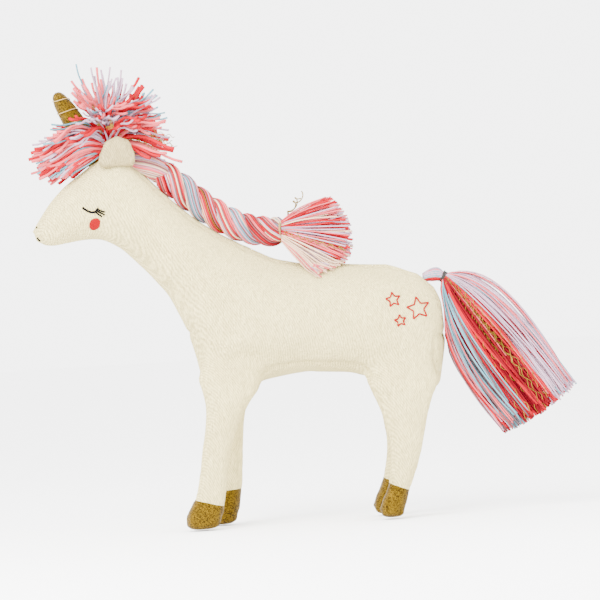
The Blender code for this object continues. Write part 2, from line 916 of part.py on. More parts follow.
def make_embroidery(body):
    shell = offset_copy("stitches", body, fit_gap + thread)
    under = offset_copy("under", body, fit_gap)
    combine(shell, under, "DIFFERENCE")
    corner = place(eye_corner)
    low = place(eye_low)
    back = place(eye_back)
    lid = []
    for i in range(7):
        t = i / 6
        bow = corner.lerp(back, t)
        sag = (low.z - (corner.z + back.z) / 2) * 4 * t * (1 - t)
        lid.append(bow + up * sag)
    eye = [stroke(lid, stitch_width)]
    for start, end in lashes:
        eye.append(stroke([place(start), place(end)], stitch_width * 0.9))
    nostril = place(nostril_place)
    mouth = [place(share) for share in mouth_ends]
    for label, sign in hands:
        embroider(label + "_eye", shell, eye, sign)
        embroider(label + "_cheek", shell, [disc_outline(place(cheek_place), cheek_radius, 16)], sign)
        embroider(label + "_nostril", shell, [disc_outline(nostril, stitch_width, 8)], sign)
        embroider(label + "_mouth", shell, [stroke(mouth, stitch_width)], sign)
    star_names = ("middle_star", "large_star", "small_star")
    for name, share, radius in zip(star_names, star_places, star_radii):
        outer = star_outline(place(share), radius)
        inner = star_outline(place(share), radius - 2 * stitch_width)
        embroider(name, shell, [outer], -1, [inner])
    remove(shell, under)


def make_pivot(name, location, root, names):
    """An empty on a joint's axis that carries the pieces which move on it."""
    pivot = bpy.data.objects.new(name, None)
    pivot.location = location
    bpy.context.scene.collection.objects.link(pivot)
    pivot.parent = root
    bpy.context.view_layer.update()
    for child_name in names:
        child = bpy.data.objects[child_name]
        child.parent = pivot
        child.matrix_parent_inverse = pivot.matrix_world.inverted()
    return pivot


def colour_and_shade():
    cream = make_material("cream_cloth", (0.86, 0.80, 0.70), 0.95)
    gold = make_material("gold_cloth", (0.48, 0.27, 0.05), 0.55, 0.5)
    stuffing = make_material("stuffing", (0.9, 0.9, 0.88), 1.0)
    coral = make_material("coral_thread", (0.91, 0.10, 0.13), 0.85)
    coral_yarn = make_material("coral_yarn", (0.88, 0.20, 0.24), 0.9)
    lilac_yarn = make_material("lilac_yarn", (0.76, 0.68, 0.80), 0.9)
    blue_yarn = make_material("blue_yarn", (0.47, 0.66, 0.73), 0.9)
    pink_yarn = make_material("pink_yarn", (0.86, 0.42, 0.47), 0.9)
    black = make_material("black_thread", (0.02, 0.02, 0.02), 0.8)
    pale = make_material("pale_thread", (0.85, 0.78, 0.62), 0.8)
    by_word = (
        ("fill", stuffing), ("hoof", gold), ("horn_thread", pale), ("horn", gold),
        ("gold_thread", gold), ("eye", black), ("nostril", black), ("mouth", black),
        ("cheek", coral), ("star", coral), ("strand_1", coral_yarn), ("strand_2", lilac_yarn),
        ("strand_3", blue_yarn), ("tie", pale), ("gather", pink_yarn), ("tassel", pink_yarn),
        ("forelock", coral_yarn), ("tail", coral_yarn), ("", cream),
    )
    for obj in bpy.data.objects:
        if obj.type != "MESH" or obj.hide_render:
            continue
        obj.data.materials.clear()
        for word, mat in by_word:
            if word in obj.name:
                obj.data.materials.append(mat)
                break
        obj.data.shade_smooth()
        obj.data.set_sharp_from_angle(angle=math.radians(40))


def stand_on_floor(root):
    """Puts the root so that the origin is under the middle of the toy's box."""
    bpy.context.view_layer.update()
    corners = []
    for obj in bpy.data.objects:
        if obj.type == "MESH" and not obj.hide_render:
            corners += [obj.matrix_world @ Vector(c) for c in obj.bound_box]
    lows = [min(c[i] for c in corners) for i in range(3)]
    highs = [max(c[i] for c in corners) for i in range(3)]
    root.location = (-(lows[0] + highs[0]) / 2, -(lows[1] + highs[1]) / 2, -lows[2])


def main():
    clear_scene()
    body = body_loft()
    legs = []
    for leg in (front_leg, rear_leg):
        for label, sign in hands:
            legs.append((leg, label, sign, leg.form("leg_form", sign * leg_spread)))
    make_covers_and_filling(body, [entry[3] for entry in legs])
    for leg, label, sign, form in legs:
        make_leg(leg, form, label, sign)
        remove(form)
    horn_base = make_horn(body)
    ear_centres = {}
    for label, sign in hands:
        ear_centres[label] = make_ear(label, sign, body)
    make_forelock(body)
    path, strand_radius = make_plait()
    tassel_pivot = make_tassel(path, strand_radius, body)
    tail_root, skirt_pivot = make_tail(body)
    make_embroidery(body)
    remove(body)
    colour_and_shade()

    root = bpy.data.objects.new("unicorn", None)
    bpy.context.scene.collection.objects.link(root)
    moving = {"horn_seam": (horn_base, ("horn_cover", "horn_fill", "horn_thread"))}
    for leg in (front_leg, rear_leg):
        for label, sign in hands:
            hip = leg.hip + side * sign * leg_spread
            name = leg.label + "_" + label
            kinds = ("_leg_outer", "_leg_inner", "_leg_fill", "_hoof_outer", "_hoof_inner")
            moving[name + "_hip"] = (hip, [name + kind for kind in kinds])
    for label, _ in hands:
        ears = (label + "_ear_front", label + "_ear_back")
        moving[label + "_ear_seam"] = (ear_centres[label], ears)
    gather_start, gather_end = gather_frame()
    strands = ["mane_strand_%d" % number for number in (1, 2, 3)]
    moving["mane_root"] = (gather_start, ("mane_gather",))
    moving["plait_root"] = (gather_end, strands + ["mane_tie", "mane_gold_thread"])
    moving["tassel_root"] = (tassel_pivot, ("mane_tassel",))
    moving["tail_root"] = (tail_root, ("tail_loop", "tail_tie"))
    moving["skirt_root"] = (skirt_pivot, ("tail_skirt",))
    carried = set()
    for name, (location, names) in moving.items():
        make_pivot(name, location, root, names)
        carried.update(names)
    for obj in bpy.data.objects:
        if obj.type == "MESH" and obj.name not in carried:
            obj.parent = root
    stand_on_floor(root)


main()
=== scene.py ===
import json
import math
import random

import bmesh
import bpy
import numpy as np
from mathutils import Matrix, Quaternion, Vector, noise
from mathutils.bvhtree import BVHTree
from mathutils.kdtree import KDTree


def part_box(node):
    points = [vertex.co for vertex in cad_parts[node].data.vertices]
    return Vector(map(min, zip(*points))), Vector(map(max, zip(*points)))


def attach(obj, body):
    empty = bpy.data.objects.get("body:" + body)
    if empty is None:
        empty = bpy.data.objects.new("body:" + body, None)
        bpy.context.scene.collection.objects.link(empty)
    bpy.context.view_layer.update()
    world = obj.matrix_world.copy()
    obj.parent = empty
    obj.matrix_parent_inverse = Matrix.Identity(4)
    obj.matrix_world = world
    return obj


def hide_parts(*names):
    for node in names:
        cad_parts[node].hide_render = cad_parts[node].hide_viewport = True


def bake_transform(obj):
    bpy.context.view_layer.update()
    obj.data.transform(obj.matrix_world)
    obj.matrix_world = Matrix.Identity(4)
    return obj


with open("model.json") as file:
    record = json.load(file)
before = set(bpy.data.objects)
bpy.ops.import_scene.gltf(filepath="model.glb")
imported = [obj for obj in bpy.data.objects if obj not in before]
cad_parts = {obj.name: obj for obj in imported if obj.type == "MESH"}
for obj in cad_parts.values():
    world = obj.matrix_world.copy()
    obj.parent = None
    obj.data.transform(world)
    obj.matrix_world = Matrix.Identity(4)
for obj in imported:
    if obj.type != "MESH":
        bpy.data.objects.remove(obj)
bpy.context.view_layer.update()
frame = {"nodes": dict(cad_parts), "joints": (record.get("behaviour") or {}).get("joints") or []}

joints = {joint["name"]: joint for joint in frame["joints"]}
legNames = ("front_left", "front_right", "rear_left", "rear_right")
sideSigns = {"left": -1, "right": 1}
upward = Vector((0, 0, 1))
across = Vector((0, 1, 0))


def jointPoint(name):
    return Vector(joints[name]["pos_m"])


# the camera, the lights and the floor

view = {
    "aim": (-0.0008, 0.0, 0.1722),
    "distance": 2.8,
    "width": 0.4645,
    "turn": 1.5,
    "rise": 0.4,
    "roll": -3.6,
}
studio = {
    "skyStrength": 5.4,
    "floorColour": (0.95, 0.95, 0.95),
    "keyPower": 64.0,
    "keySpot": (-0.55, -0.9, 0.95),
    "fillPower": 15.0,
    "fillSpot": (0.9, -0.8, 0.5),
    "lampSize": 0.9,
    "middle": (0, 0, 0.17),
    "floorSize": 6,
}


def makeCamera():
    data = bpy.data.cameras.new("camera")
    data.sensor_width = 36
    data.lens = 36 * view["distance"] / view["width"]
    camera = bpy.data.objects.new("camera", data)
    bpy.context.scene.collection.objects.link(camera)
    turn = math.radians(view["turn"])
    rise = math.radians(view["rise"])
    backward = Vector((math.sin(turn) * math.cos(rise), -math.cos(turn) * math.cos(rise), math.sin(rise)))
    camera.location = Vector(view["aim"]) + backward * view["distance"]
    facing = (-backward).to_track_quat("-Z", "Y")
    camera.rotation_mode = "QUATERNION"
    camera.rotation_quaternion = facing @ Quaternion((0, 0, 1), math.radians(view["roll"]))
    bpy.context.scene.camera = camera


def areaLight(name, spot, power):
    data = bpy.data.lights.new(name, "AREA")
    data.energy = power
    data.size = studio["lampSize"]
    light = bpy.data.objects.new(name, data)
    bpy.context.scene.collection.objects.link(light)
    light.location = spot
    aim = Vector(studio["middle"]) - Vector(spot)
    light.rotation_euler = aim.to_track_quat("-Z", "Y").to_euler()


def makeStudio():
    world = bpy.data.worlds.new("studio")
    world.use_nodes = True
    sky = world.node_tree.nodes["Background"]
    sky.inputs["Color"].default_value = (1, 1, 1, 1)
    sky.inputs["Strength"].default_value = studio["skyStrength"]
    bpy.context.scene.world = world
    areaLight("keyLight", studio["keySpot"], studio["keyPower"])
    areaLight("fillLight", studio["fillSpot"], studio["fillPower"])
    bm = bmesh.new()
    bmesh.ops.create_grid(bm, x_segments=1, y_segments=1, size=studio["floorSize"])
    mesh = bpy.data.meshes.new("floor")
    bm.to_mesh(mesh)
    bm.free()
    floor = bpy.data.objects.new("floor", mesh)
    bpy.context.scene.collection.objects.link(floor)
    paper = bpy.data.materials.new("floorPaper")
    paper.use_nodes = True
    shader = paper.node_tree.nodes["Principled BSDF"]
    shader.inputs["Base Color"].default_value = (*studio["floorColour"], 1)
    shader.inputs["Roughness"].default_value = 0.9
    mesh.materials.append(paper)


# shader groups and materials

class NodeBench:
    # lays nodes into a tree and links them by name
    def __init__(self, tree):
        self.tree = tree

    def add(self, kind, **settings):
        node = self.tree.nodes.new(kind)
        for key, value in settings.items():
            if key in node.inputs:
                node.inputs[key].default_value = value
            else:
                setattr(node, key, value)
        return node

    def link(self, source, sink):
        self.tree.links.new(source, sink)

    def maths(self, operation, first, second=None):
        node = self.add("ShaderNodeMath", operation=operation)
        for slot, value in ((0, first), (1, second)):
            if value is None:
                continue
            if isinstance(value, (int, float)):
                node.inputs[slot].default_value = value
            else:
                self.link(value, node.inputs[slot])
        return node.outputs[0]

    def mix(self, *parts):
        # adds up the parts, each a value and its share
        total = None
        for value, share in parts:
            part = self.maths("MULTIPLY", value, share)
            total = part if total is None else self.maths("ADD", total, part)
        return total

    def speckle(self, place, scale, detail, **more):
        cloud = self.add("ShaderNodeTexNoise", Scale=scale, Detail=detail, **more)
        self.link(place, cloud.inputs["Vector"])
        return cloud.outputs["Fac"]

    def split(self, vector):
        axes = self.add("ShaderNodeSeparateXYZ")
        self.link(vector, axes.inputs[0])
        return axes.outputs


def startGroup(name, inputs, outputs):
    group = bpy.data.node_groups.new(name, "ShaderNodeTree")
    for label, kind, value in inputs:
        socket = group.interface.new_socket(name=label, in_out="INPUT", socket_type=kind)
        socket.default_value = value
    for label, kind in outputs:
        group.interface.new_socket(name=label, in_out="OUTPUT", socket_type=kind)
    bench = NodeBench(group)
    return group, bench, bench.add("NodeGroupInput"), bench.add("NodeGroupOutput")


crepe = {
    "crinkle": {"Roughness": 0.55, "Distortion": 0.6},
    "lumpScale": 38.0,
    "weaveScale": 1700.0,
    "weaveHeight": 0.35,
    "slant": {"X": 0.87, "Z": 0.50, "Y": 0.80},
    "cordTurns": 3900.0,
    "waverScale": 210.0,
    "waver": 9.0,
    # the crinkle share is painted shade in the rib hollows; the lumps and cords are the cloth's own tone
    "tones": {"crinkle": 0.63, "lumps": 0.15, "cord": 0.22},
}


def makeCrepeGroup():
    # fine crinkled ribs that run up the cloth, slanting cords and a slow change of tone; the colour is
    # darker in the hollows of the crinkle, which is painted shade
    group, bench, given, result = startGroup(
        "crepeRibs",
        (("Ribs per metre", "NodeSocketFloat", 900.0), ("Rib stretch", "NodeSocketFloat", 0.24)),
        (("Height", "NodeSocketFloat"), ("ToneAndShade", "NodeSocketFloat")))
    place = bench.add("ShaderNodeTexCoord").outputs["Object"]
    ribs = bench.add("ShaderNodeCombineXYZ")
    bench.link(given.outputs["Ribs per metre"], ribs.inputs["X"])
    bench.link(given.outputs["Ribs per metre"], ribs.inputs["Y"])
    slow = bench.maths("MULTIPLY", given.outputs["Ribs per metre"], given.outputs["Rib stretch"])
    bench.link(slow, ribs.inputs["Z"])
    scaled = bench.add("ShaderNodeVectorMath", operation="MULTIPLY")
    bench.link(place, scaled.inputs[0])
    bench.link(ribs.outputs[0], scaled.inputs[1])
    crinkle = bench.speckle(scaled.outputs[0], 1.0, 3.0, **crepe["crinkle"])
    lumps = bench.speckle(place, crepe["lumpScale"], 2.0)
    weave = bench.speckle(place, crepe["weaveScale"], 1.0)
    bench.link(bench.mix((crinkle, 1.0), (weave, crepe["weaveHeight"])), result.inputs["Height"])
    way = bench.split(place)
    slant = bench.mix(*[(way[axis], share) for axis, share in crepe["slant"].items()])
    waver = bench.speckle(place, crepe["waverScale"], 2.0)
    turn = bench.mix((slant, crepe["cordTurns"]), (waver, crepe["waver"]))
    cord = bench.maths("ADD", bench.maths("MULTIPLY", bench.maths("SINE", turn), 0.5), 0.5)
    tones = crepe["tones"]
    # the crinkle share of the tone darkens the rib hollows: painted shade
    tone = bench.mix((crinkle, tones["crinkle"]), (lumps, tones["lumps"]), (cord, tones["cord"]))
    bench.link(tone, result.inputs["ToneAndShade"])
    return group


def makeKnitGroup():
    # columns of tiny knitted loops with single threads that catch the light
    group, bench, given, result = startGroup(
        "knitLoops",
        (("Columns per metre", "NodeSocketFloat", 1650.0),),
        (("Height", "NodeSocketFloat"), ("Glint", "NodeSocketFloat")))
    place = bench.add("ShaderNodeTexCoord").outputs["Object"]
    columns = given.outputs["Columns per metre"]
    way = bench.split(place)
    column = bench.maths("MULTIPLY", bench.maths("ADD", way["X"], way["Y"]), columns)
    row = bench.maths("MULTIPLY", way["Z"], columns)
    wobble = bench.maths("SINE", bench.maths("MULTIPLY", row, math.pi))
    ribs = bench.maths("SINE", bench.maths("MULTIPLY", column, math.pi))
    loops = bench.maths("MULTIPLY", wobble, ribs)
    cells = bench.add("ShaderNodeTexVoronoi", Randomness=1.0)
    bench.link(columns, cells.inputs["Scale"])
    bench.link(place, cells.inputs["Vector"])
    grey = bench.add("ShaderNodeSeparateColor")
    bench.link(cells.outputs["Color"], grey.inputs[0])
    bench.link(bench.mix((loops, 1.0), (cells.outputs["Distance"], 1.2)), result.inputs["Height"])
    bench.link(grey.outputs[0], result.inputs["Glint"])
    return group


def makePlyGroup():
    # the twist of a plied yarn: grooves that wind round the strand, their colour darkened with painted
    # shade, and a slow random change of tone
    group, bench, given, result = startGroup(
        "yarnTwist",
        (("Twists per metre", "NodeSocketFloat", 320.0), ("Plies", "NodeSocketFloat", 3.0)),
        (("Height", "NodeSocketFloat"), ("ToneAndShade", "NodeSocketFloat")))
    way = bench.split(bench.add("ShaderNodeUVMap", uv_map="strand").outputs[0])
    along = bench.maths("MULTIPLY", way["Y"], given.outputs["Twists per metre"])
    wound = bench.maths("ADD", along, way["X"])
    turned = bench.maths("MULTIPLY", bench.maths("MULTIPLY", wound, given.outputs["Plies"]), math.pi)
    groove = bench.maths("ABSOLUTE", bench.maths("SINE", turned))
    place = bench.add("ShaderNodeTexCoord").outputs["Object"]
    fuzz = bench.speckle(place, 900.0, 2.0)
    shade = bench.speckle(place, 55.0, 1.0)
    bench.link(bench.mix((groove, 1.0), (fuzz, 0.6)), result.inputs["Height"])
    # the groove share darkens the colour in the twist grooves: painted shade
    bench.link(bench.mix((groove, 0.4), (shade, 0.6)), result.inputs["ToneAndShade"])
    return group


def startMaterial(name, roughness, metallic=0.0, sheen=0.0):
    material = bpy.data.materials.new(name)
    material.use_nodes = True
    bench = NodeBench(material.node_tree)
    shader = material.node_tree.nodes["Principled BSDF"]
    shader.inputs["Roughness"].default_value = roughness
    shader.inputs["Metallic"].default_value = metallic
    shader.inputs["Sheen Weight"].default_value = sheen
    shader.inputs["Sheen Roughness"].default_value = 0.6
    shader.inputs["Specular IOR Level"].default_value = 0.06
    return material, bench, shader


def finishMaterial(bench, shader, pattern, tone, dark, light, bump, low=0.25, high=0.75):
    ramp = bench.add("ShaderNodeValToRGB")
    ramp.color_ramp.elements[0].position = low
    ramp.color_ramp.elements[0].color = (*dark, 1)
    ramp.color_ramp.elements[1].position = high
    ramp.color_ramp.elements[1].color = (*light, 1)
    bench.link(pattern.outputs[tone], ramp.inputs[0])
    bench.link(ramp.outputs[0], shader.inputs["Base Color"])
    relief = bench.add("ShaderNodeBump", Strength=1.0, Distance=bump)
    bench.link(pattern.outputs["Height"], relief.inputs["Height"])
    bench.link(relief.outputs[0], shader.inputs["Normal"])


def crepeMaterial(name, dark, light):
    material, bench, shader = startMaterial(name, 0.95, sheen=0.04)
    pattern = bench.add("ShaderNodeGroup", node_tree=shaderGroups["crepe"])
    finishMaterial(bench, shader, pattern, "ToneAndShade", dark, light, 0.0034, 0.28, 0.72)
    return material


def knitMaterial(name, dark, light):
    material, bench, shader = startMaterial(name, 0.42, 0.25)
    pattern = bench.add("ShaderNodeGroup", node_tree=shaderGroups["knit"])
    finishMaterial(bench, shader, pattern, "Glint", dark, light, 0.0005, 0.0, 1.0)
    return material


def yarnMaterial(name, dark, light, bump=0.0003, roughness=0.85, metallic=0.0, twists=320.0):
    material, bench, shader = startMaterial(name, roughness, metallic)
    pattern = bench.add("ShaderNodeGroup", node_tree=shaderGroups["ply"])
    pattern.inputs["Twists per metre"].default_value = twists
    finishMaterial(bench, shader, pattern, "ToneAndShade", dark, light, bump)
    return material


shaderGroups = {"crepe": makeCrepeGroup(), "knit": makeKnitGroup(), "ply": makePlyGroup()}
# each cloth or yarn goes from its dark colour to its light one; for the crepe and the yarns the dark end
# also carries painted shade in the crinkle hollows and twist grooves, for the gold knit the light end is
# painted glints
clothShades = {
    "creamCrepe": ((0.46, 0.375, 0.155), (0.93, 0.79, 0.365)),
    # the ears' crepe is the cream crepe made darker: painted shade under the forelock
    "earShadedCrepe": ((0.29, 0.222, 0.094), (0.60, 0.480, 0.225)),
    "goldKnit": ((0.010, 0.004, 0.0003), (0.200, 0.116, 0.0048)),
}
yarnShades = {
    "coralYarn": ((0.23, 0.002, 0.006), (0.44, 0.0042, 0.016)),
    # the shaded coral is the coral made darker: painted shade within the tail and the plait
    "crimsonYarn": ((0.0729, 0.0016, 0.0049), (0.1944, 0.0024, 0.0089)),
    "pinkYarn": ((0.345, 0.045, 0.052), (0.72, 0.115, 0.130)),
    "lilacYarn": ((0.243, 0.1539, 0.2025), (0.5022, 0.3402, 0.4374)),
    "blueYarn": ((0.0567, 0.1458, 0.1863), (0.1296, 0.324, 0.3888)),
    "creamYarn": ((0.5022, 0.2916, 0.1782), (0.7452, 0.5184, 0.3564)),
    "greyYarn": ((0.0567, 0.0446, 0.0486), (0.1296, 0.1053, 0.1134)),
    "duskYarn": ((0.1215, 0.0324, 0.034), (0.243, 0.081, 0.081)),
}
# the thin threads are twisted more tightly: two colours, roughness, metallic, twists per metre
threadShades = {
    "goldYarn": ((0.0567, 0.034, 0.0016), (0.2754, 0.1782, 0.0243), 0.35, 0.2, 900.0),
    "blackThread": ((0.0006, 0.0006, 0.0008), (0.0024, 0.0024, 0.0032), 0.8, 0.0, 900.0),
    "coralThread": ((0.1782, 0.0008, 0.0024), (0.2673, 0.0016, 0.0049), 0.8, 0.0, 900.0),
    "paleThread": ((0.243, 0.1539, 0.0486), (0.405, 0.2916, 0.1134), 0.6, 0.0, 700.0),
    "greyThread": ((0.0162, 0.0146, 0.0146), (0.0486, 0.0446, 0.0405), 0.7, 0.0, 700.0),
}
finishes = {
    "cream": crepeMaterial("creamCrepe", *clothShades["creamCrepe"]),
    "earShadedCream": crepeMaterial("earShadedCrepe", *clothShades["earShadedCrepe"]),
    "gold": knitMaterial("goldKnit", *clothShades["goldKnit"]),
}
for yarnName, (darkShade, lightShade) in yarnShades.items():
    finishes[yarnName] = yarnMaterial(yarnName, darkShade, lightShade)
for threadName, (darkShade, lightShade, *surface) in threadShades.items():
    finishes[threadName] = yarnMaterial(threadName, darkShade, lightShade, 0.0001, *surface)
print("materials", len(finishes))


# helpers that make and change meshes

def addObject(name, mesh, *looks):
    obj = bpy.data.objects.new(name, mesh)
    bpy.context.scene.collection.objects.link(obj)
    mesh.materials.clear()
    for look in looks:
        mesh.materials.append(finishes[look])
    return obj


def coordinates(mesh):
    points = np.empty(len(mesh.vertices) * 3)
    mesh.vertices.foreach_get("co", points)
    return points.reshape(-1, 3)


def setCoordinates(mesh, points):
    mesh.vertices.foreach_set("co", points.ravel())
    mesh.update()


def vertexNormals(mesh):
    normals = np.empty(len(mesh.vertices) * 3)
    mesh.vertex_normals.foreach_get("vector", normals)
    return normals.reshape(-1, 3)


def applyModifiers(obj):
    graph = bpy.context.evaluated_depsgraph_get()
    mesh = bpy.data.meshes.new_from_object(obj.evaluated_get(graph))
    obj.modifiers.clear()
    obj.data = mesh


def smoothPoints(mesh, points, rounds, shrinkGuard=0.53):
    # evens out the surface without shrinking it
    edges = np.empty(len(mesh.edges) * 2, dtype=np.int64)
    mesh.edges.foreach_get("vertices", edges)
    edges = edges.reshape(-1, 2)
    count = np.bincount(edges.ravel(), minlength=len(points)).reshape(-1, 1)
    for _ in range(rounds):
        for share in (0.5, -shrinkGuard):
            total = np.zeros_like(points)
            np.add.at(total, edges[:, 0], points[edges[:, 1]])
            np.add.at(total, edges[:, 1], points[edges[:, 0]])
            points = points + (total / count - points) * share
    return points


def swollenCopy(name, nodeNames, grow):
    # one mesh of several CAD solids, each grown along its normals
    bm = bmesh.new()
    for nodeName in nodeNames:
        part = bmesh.new()
        part.from_mesh(frame["nodes"][nodeName].data)
        bmesh.ops.remove_doubles(part, verts=part.verts, dist=1e-6)
        part.normal_update()
        moves = [(v, v.normal * grow * min(v.calc_shell_factor(), 1.5)) for v in part.verts]
        for vert, move in moves:
            vert.co += move
        spare = bpy.data.meshes.new("spare")
        part.to_mesh(spare)
        part.free()
        bm.from_mesh(spare)
        bpy.data.meshes.remove(spare)
    mesh = bpy.data.meshes.new(name)
    bm.to_mesh(mesh)
    bm.free()
    return addObject(name, mesh)


def voxelRemesh(obj, size):
    modifier = obj.modifiers.new("even", "REMESH")
    modifier.mode = "VOXEL"
    modifier.voxel_size = size
    applyModifiers(obj)


def subdivideOnce(obj):
    modifier = obj.modifiers.new("fine", "SUBSURF")
    modifier.levels = 1
    modifier.render_levels = 1
    applyModifiers(obj)


def makeTubes(name, lines, radii, look, sides=6, endTaper=1.0):
    # lines: strands x points x 3, radii: one for each strand
    lines = np.asarray(lines, dtype=float)
    strands, steps, _ = lines.shape
    radii = np.asarray(radii, dtype=float).reshape(-1, 1, 1)
    tangents = np.gradient(lines, axis=1)
    tangents /= np.linalg.norm(tangents, axis=2, keepdims=True) + 1e-12
    normal = np.cross(tangents[:, 0], np.array([0.31, 0.52, 0.79]))
    normal /= np.linalg.norm(normal, axis=1, keepdims=True)
    normals = np.empty_like(lines)
    for step in range(steps):
        t = tangents[:, step]
        normal = normal - t * np.sum(normal * t, axis=1, keepdims=True)
        normal /= np.linalg.norm(normal, axis=1, keepdims=True)
        normals[:, step] = normal
    binormals = np.cross(tangents, normals)
    widths = np.ones((1, steps, 1))
    widths[0, -1, 0] = endTaper
    angles = np.arange(sides) * 2 * math.pi / sides
    ring = (normals[:, :, None, :] * np.cos(angles)[None, None, :, None]
            + binormals[:, :, None, :] * np.sin(angles)[None, None, :, None])
    points = lines[:, :, None, :] + ring * (radii * widths)[:, :, :, None]
    reach = np.concatenate([np.zeros((strands, 1)), np.cumsum(
        np.linalg.norm(np.diff(lines, axis=1), axis=2), axis=1)], axis=1)
    base = (np.arange(strands) * steps * sides)[:, None, None]
    rowAt = (np.arange(steps - 1) * sides)[None, :, None]
    here = np.arange(sides)[None, None, :]
    beside = (here + 1) % sides
    quads = np.stack([base + rowAt + here, base + rowAt + beside,
                      base + rowAt + sides + beside, base + rowAt + sides + here], axis=-1)
    faces = quads.reshape(-1, 4).tolist()
    starts = (base[:, :, 0] + np.arange(sides)[::-1][None, :]).tolist()
    ends = (base[:, :, 0] + (steps - 1) * sides + np.arange(sides)[None, :]).tolist()
    mesh = bpy.data.meshes.new(name)
    mesh.from_pydata(points.reshape(-1, 3).tolist(), [], faces + starts + ends)
    layer = mesh.uv_layers.new(name="strand")
    rowUv = np.repeat(reach[:, :-1, None], sides, axis=2)
    nextUv = np.repeat(reach[:, 1:, None], sides, axis=2)
    hereU = np.broadcast_to(here / sides, rowUv.shape)
    besideU = np.broadcast_to((here + 1) / sides, rowUv.shape)
    uv = np.stack([np.stack([hereU, rowUv], -1), np.stack([besideU, rowUv], -1),
                   np.stack([besideU, nextUv], -1), np.stack([hereU, nextUv], -1)], axis=3)
    endUv = np.zeros((2 * strands * sides, 2))
    layer.data.foreach_set("uv", np.concatenate([uv.reshape(-1, 2), endUv]).ravel().astype(np.float32))
    mesh.validate()
    mesh.shade_smooth()
    return addObject(name, mesh, look)


# the body is one stuffed skin, cut into the sewn panels

body = {
    "voxel": 0.0042,
    "grow": 0.0015,
    "slack": 0.0016,
    "pressure": 3.0,
    "frames": 18,
    "cap": 0.0030,
    "evenRounds": 6,
    "fineRounds": 5,
    "gussetHalf": 0.0100,
    "seamDepth": 0.0015,
    "seamWidth": 0.0024,
    "hoofSeamDepth": 0.0010,
    "soleHeight": 0.0075,
    "soleRound": 1.8,
    "ground": 0.0003,
    "lean": {"front_right": 0.0145, "rear_right": -0.0050},
    "leanAbove": 0.012,
    "legReach": 0.055,
    "legFade": 0.010,
    "calf": 0.0038,
    "calfBelow": 0.010,
    "calfFade": 0.050,
    "farHoofRise": 0.0017,
    "muzzleReach": 0.022,
    "muzzleEase": 0.0022,
    "lumpScale": 26,
    "lumpHeight": 0.0011,
    "blendAbove": 0.020,
    "blendBelow": 0.014,
    "legCut": 0.024,
    "legHalf": 0.05,
    "cutSnap": 0.00025,
    "chestSlope": 0.5,
    "pucker": 0.55,
    "puckerScale": 420,
}


def puffUp(obj, settings):
    # swells the closed skin with pressure, no further than the cap
    start = coordinates(obj.data)
    normals = vertexNormals(obj.data)
    setCoordinates(obj.data, start - normals * settings["slack"])
    cloth = obj.modifiers.new("stuffed", "CLOTH")
    cloth.settings.quality = 6
    cloth.settings.mass = 0.2
    cloth.settings.tension_stiffness = 12
    cloth.settings.compression_stiffness = 12
    cloth.settings.bending_stiffness = 0.4
    cloth.settings.use_pressure = True
    cloth.settings.uniform_pressure_force = settings["pressure"]
    cloth.settings.effector_weights.gravity = 0
    cloth.collision_settings.use_collision = False
    scene = bpy.context.scene
    for step in range(1, settings["frames"] + 1):
        scene.frame_set(step)
    applyModifiers(obj)
    scene.frame_set(1)
    moved = coordinates(obj.data)
    drift = moved - start
    length = np.linalg.norm(drift, axis=1, keepdims=True)
    drift *= np.minimum(1.0, settings["cap"] / np.maximum(length, 1e-9))
    setCoordinates(obj.data, start + drift)


def makeBodySkin():
    fills = ["torso_fill"] + [name + "_leg_fill" for name in legNames]
    skin = swollenCopy("bodySkin", fills, body["grow"])
    voxelRemesh(skin, body["voxel"])
    setCoordinates(skin.data, smoothPoints(skin.data, coordinates(skin.data), body["evenRounds"]))
    puffUp(skin, body)
    subdivideOnce(skin)
    points = smoothPoints(skin.data, coordinates(skin.data), body["fineRounds"])
    points[:, 2] = np.maximum(points[:, 2], 0.0002)
    points = slack(points, vertexNormals(skin.data))
    points = shapeLegs(easeMuzzle(points))
    sole = body["soleHeight"]
    ground = body["ground"]
    low = points[:, 2] < sole
    points[low, 2] = ground + (points[low, 2] / sole) ** body["soleRound"] * (sole - ground)
    setCoordinates(skin.data, points)
    print("body skin", len(skin.data.vertices), "points")
    return skin


def shapeLegs(points):
    # the right legs stand a little inside the left ones
    for name, lean in body["lean"].items():
        hip = jointPoint(name + "_hip_flex")
        top = hip.z + body["leanAbove"]
        drop = np.sin(np.clip((top - points[:, 2]) / top, 0, 1) * math.pi / 2)
        near = (points[:, 1] > 0.002) & (np.abs(points[:, 0] - hip.x) < body["legReach"])
        side = np.clip(points[:, 1] / body["legFade"], 0, 1)
        points[:, 0] += np.where(near, lean * drop * side, 0)
    # the near front leg is fuller behind
    hip = jointPoint("front_left_hip_flex")
    low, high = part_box("front_left_hoof_outer")
    hoof = (low + high) / 2
    middle = hoof.x + (points[:, 2] - hoof.z) * (hip.x - hoof.x) / (hip.z - hoof.z)
    near = (points[:, 1] < -0.002) & (np.abs(points[:, 0] - hip.x) < body["legReach"])
    drop = np.clip((hip.z - body["calfBelow"] - points[:, 2]) / body["calfFade"], 0, 1)
    rear = np.clip((points[:, 0] - middle) / body["legFade"], 0, 1)
    side = np.clip(-points[:, 1] / body["legFade"], 0, 1)
    points[:, 0] += np.where(near, body["calf"] * drop * rear * side, 0)
    return points


def easeMuzzle(points):
    # the nose is blunt, and the swelling stays out of it
    tip = points[:, 0].min()
    share = np.clip(1 - (points[:, 0] - tip) / body["muzzleReach"], 0, 1)
    points[:, 0] += body["muzzleEase"] * share
    return points


def slack(points, normals):
    # slow dents and swells of hand-stuffed filling
    swell = [noise.noise(Vector(p) * body["lumpScale"]) for p in points]
    return points + normals * (np.array(swell) * body["lumpHeight"])[:, None]


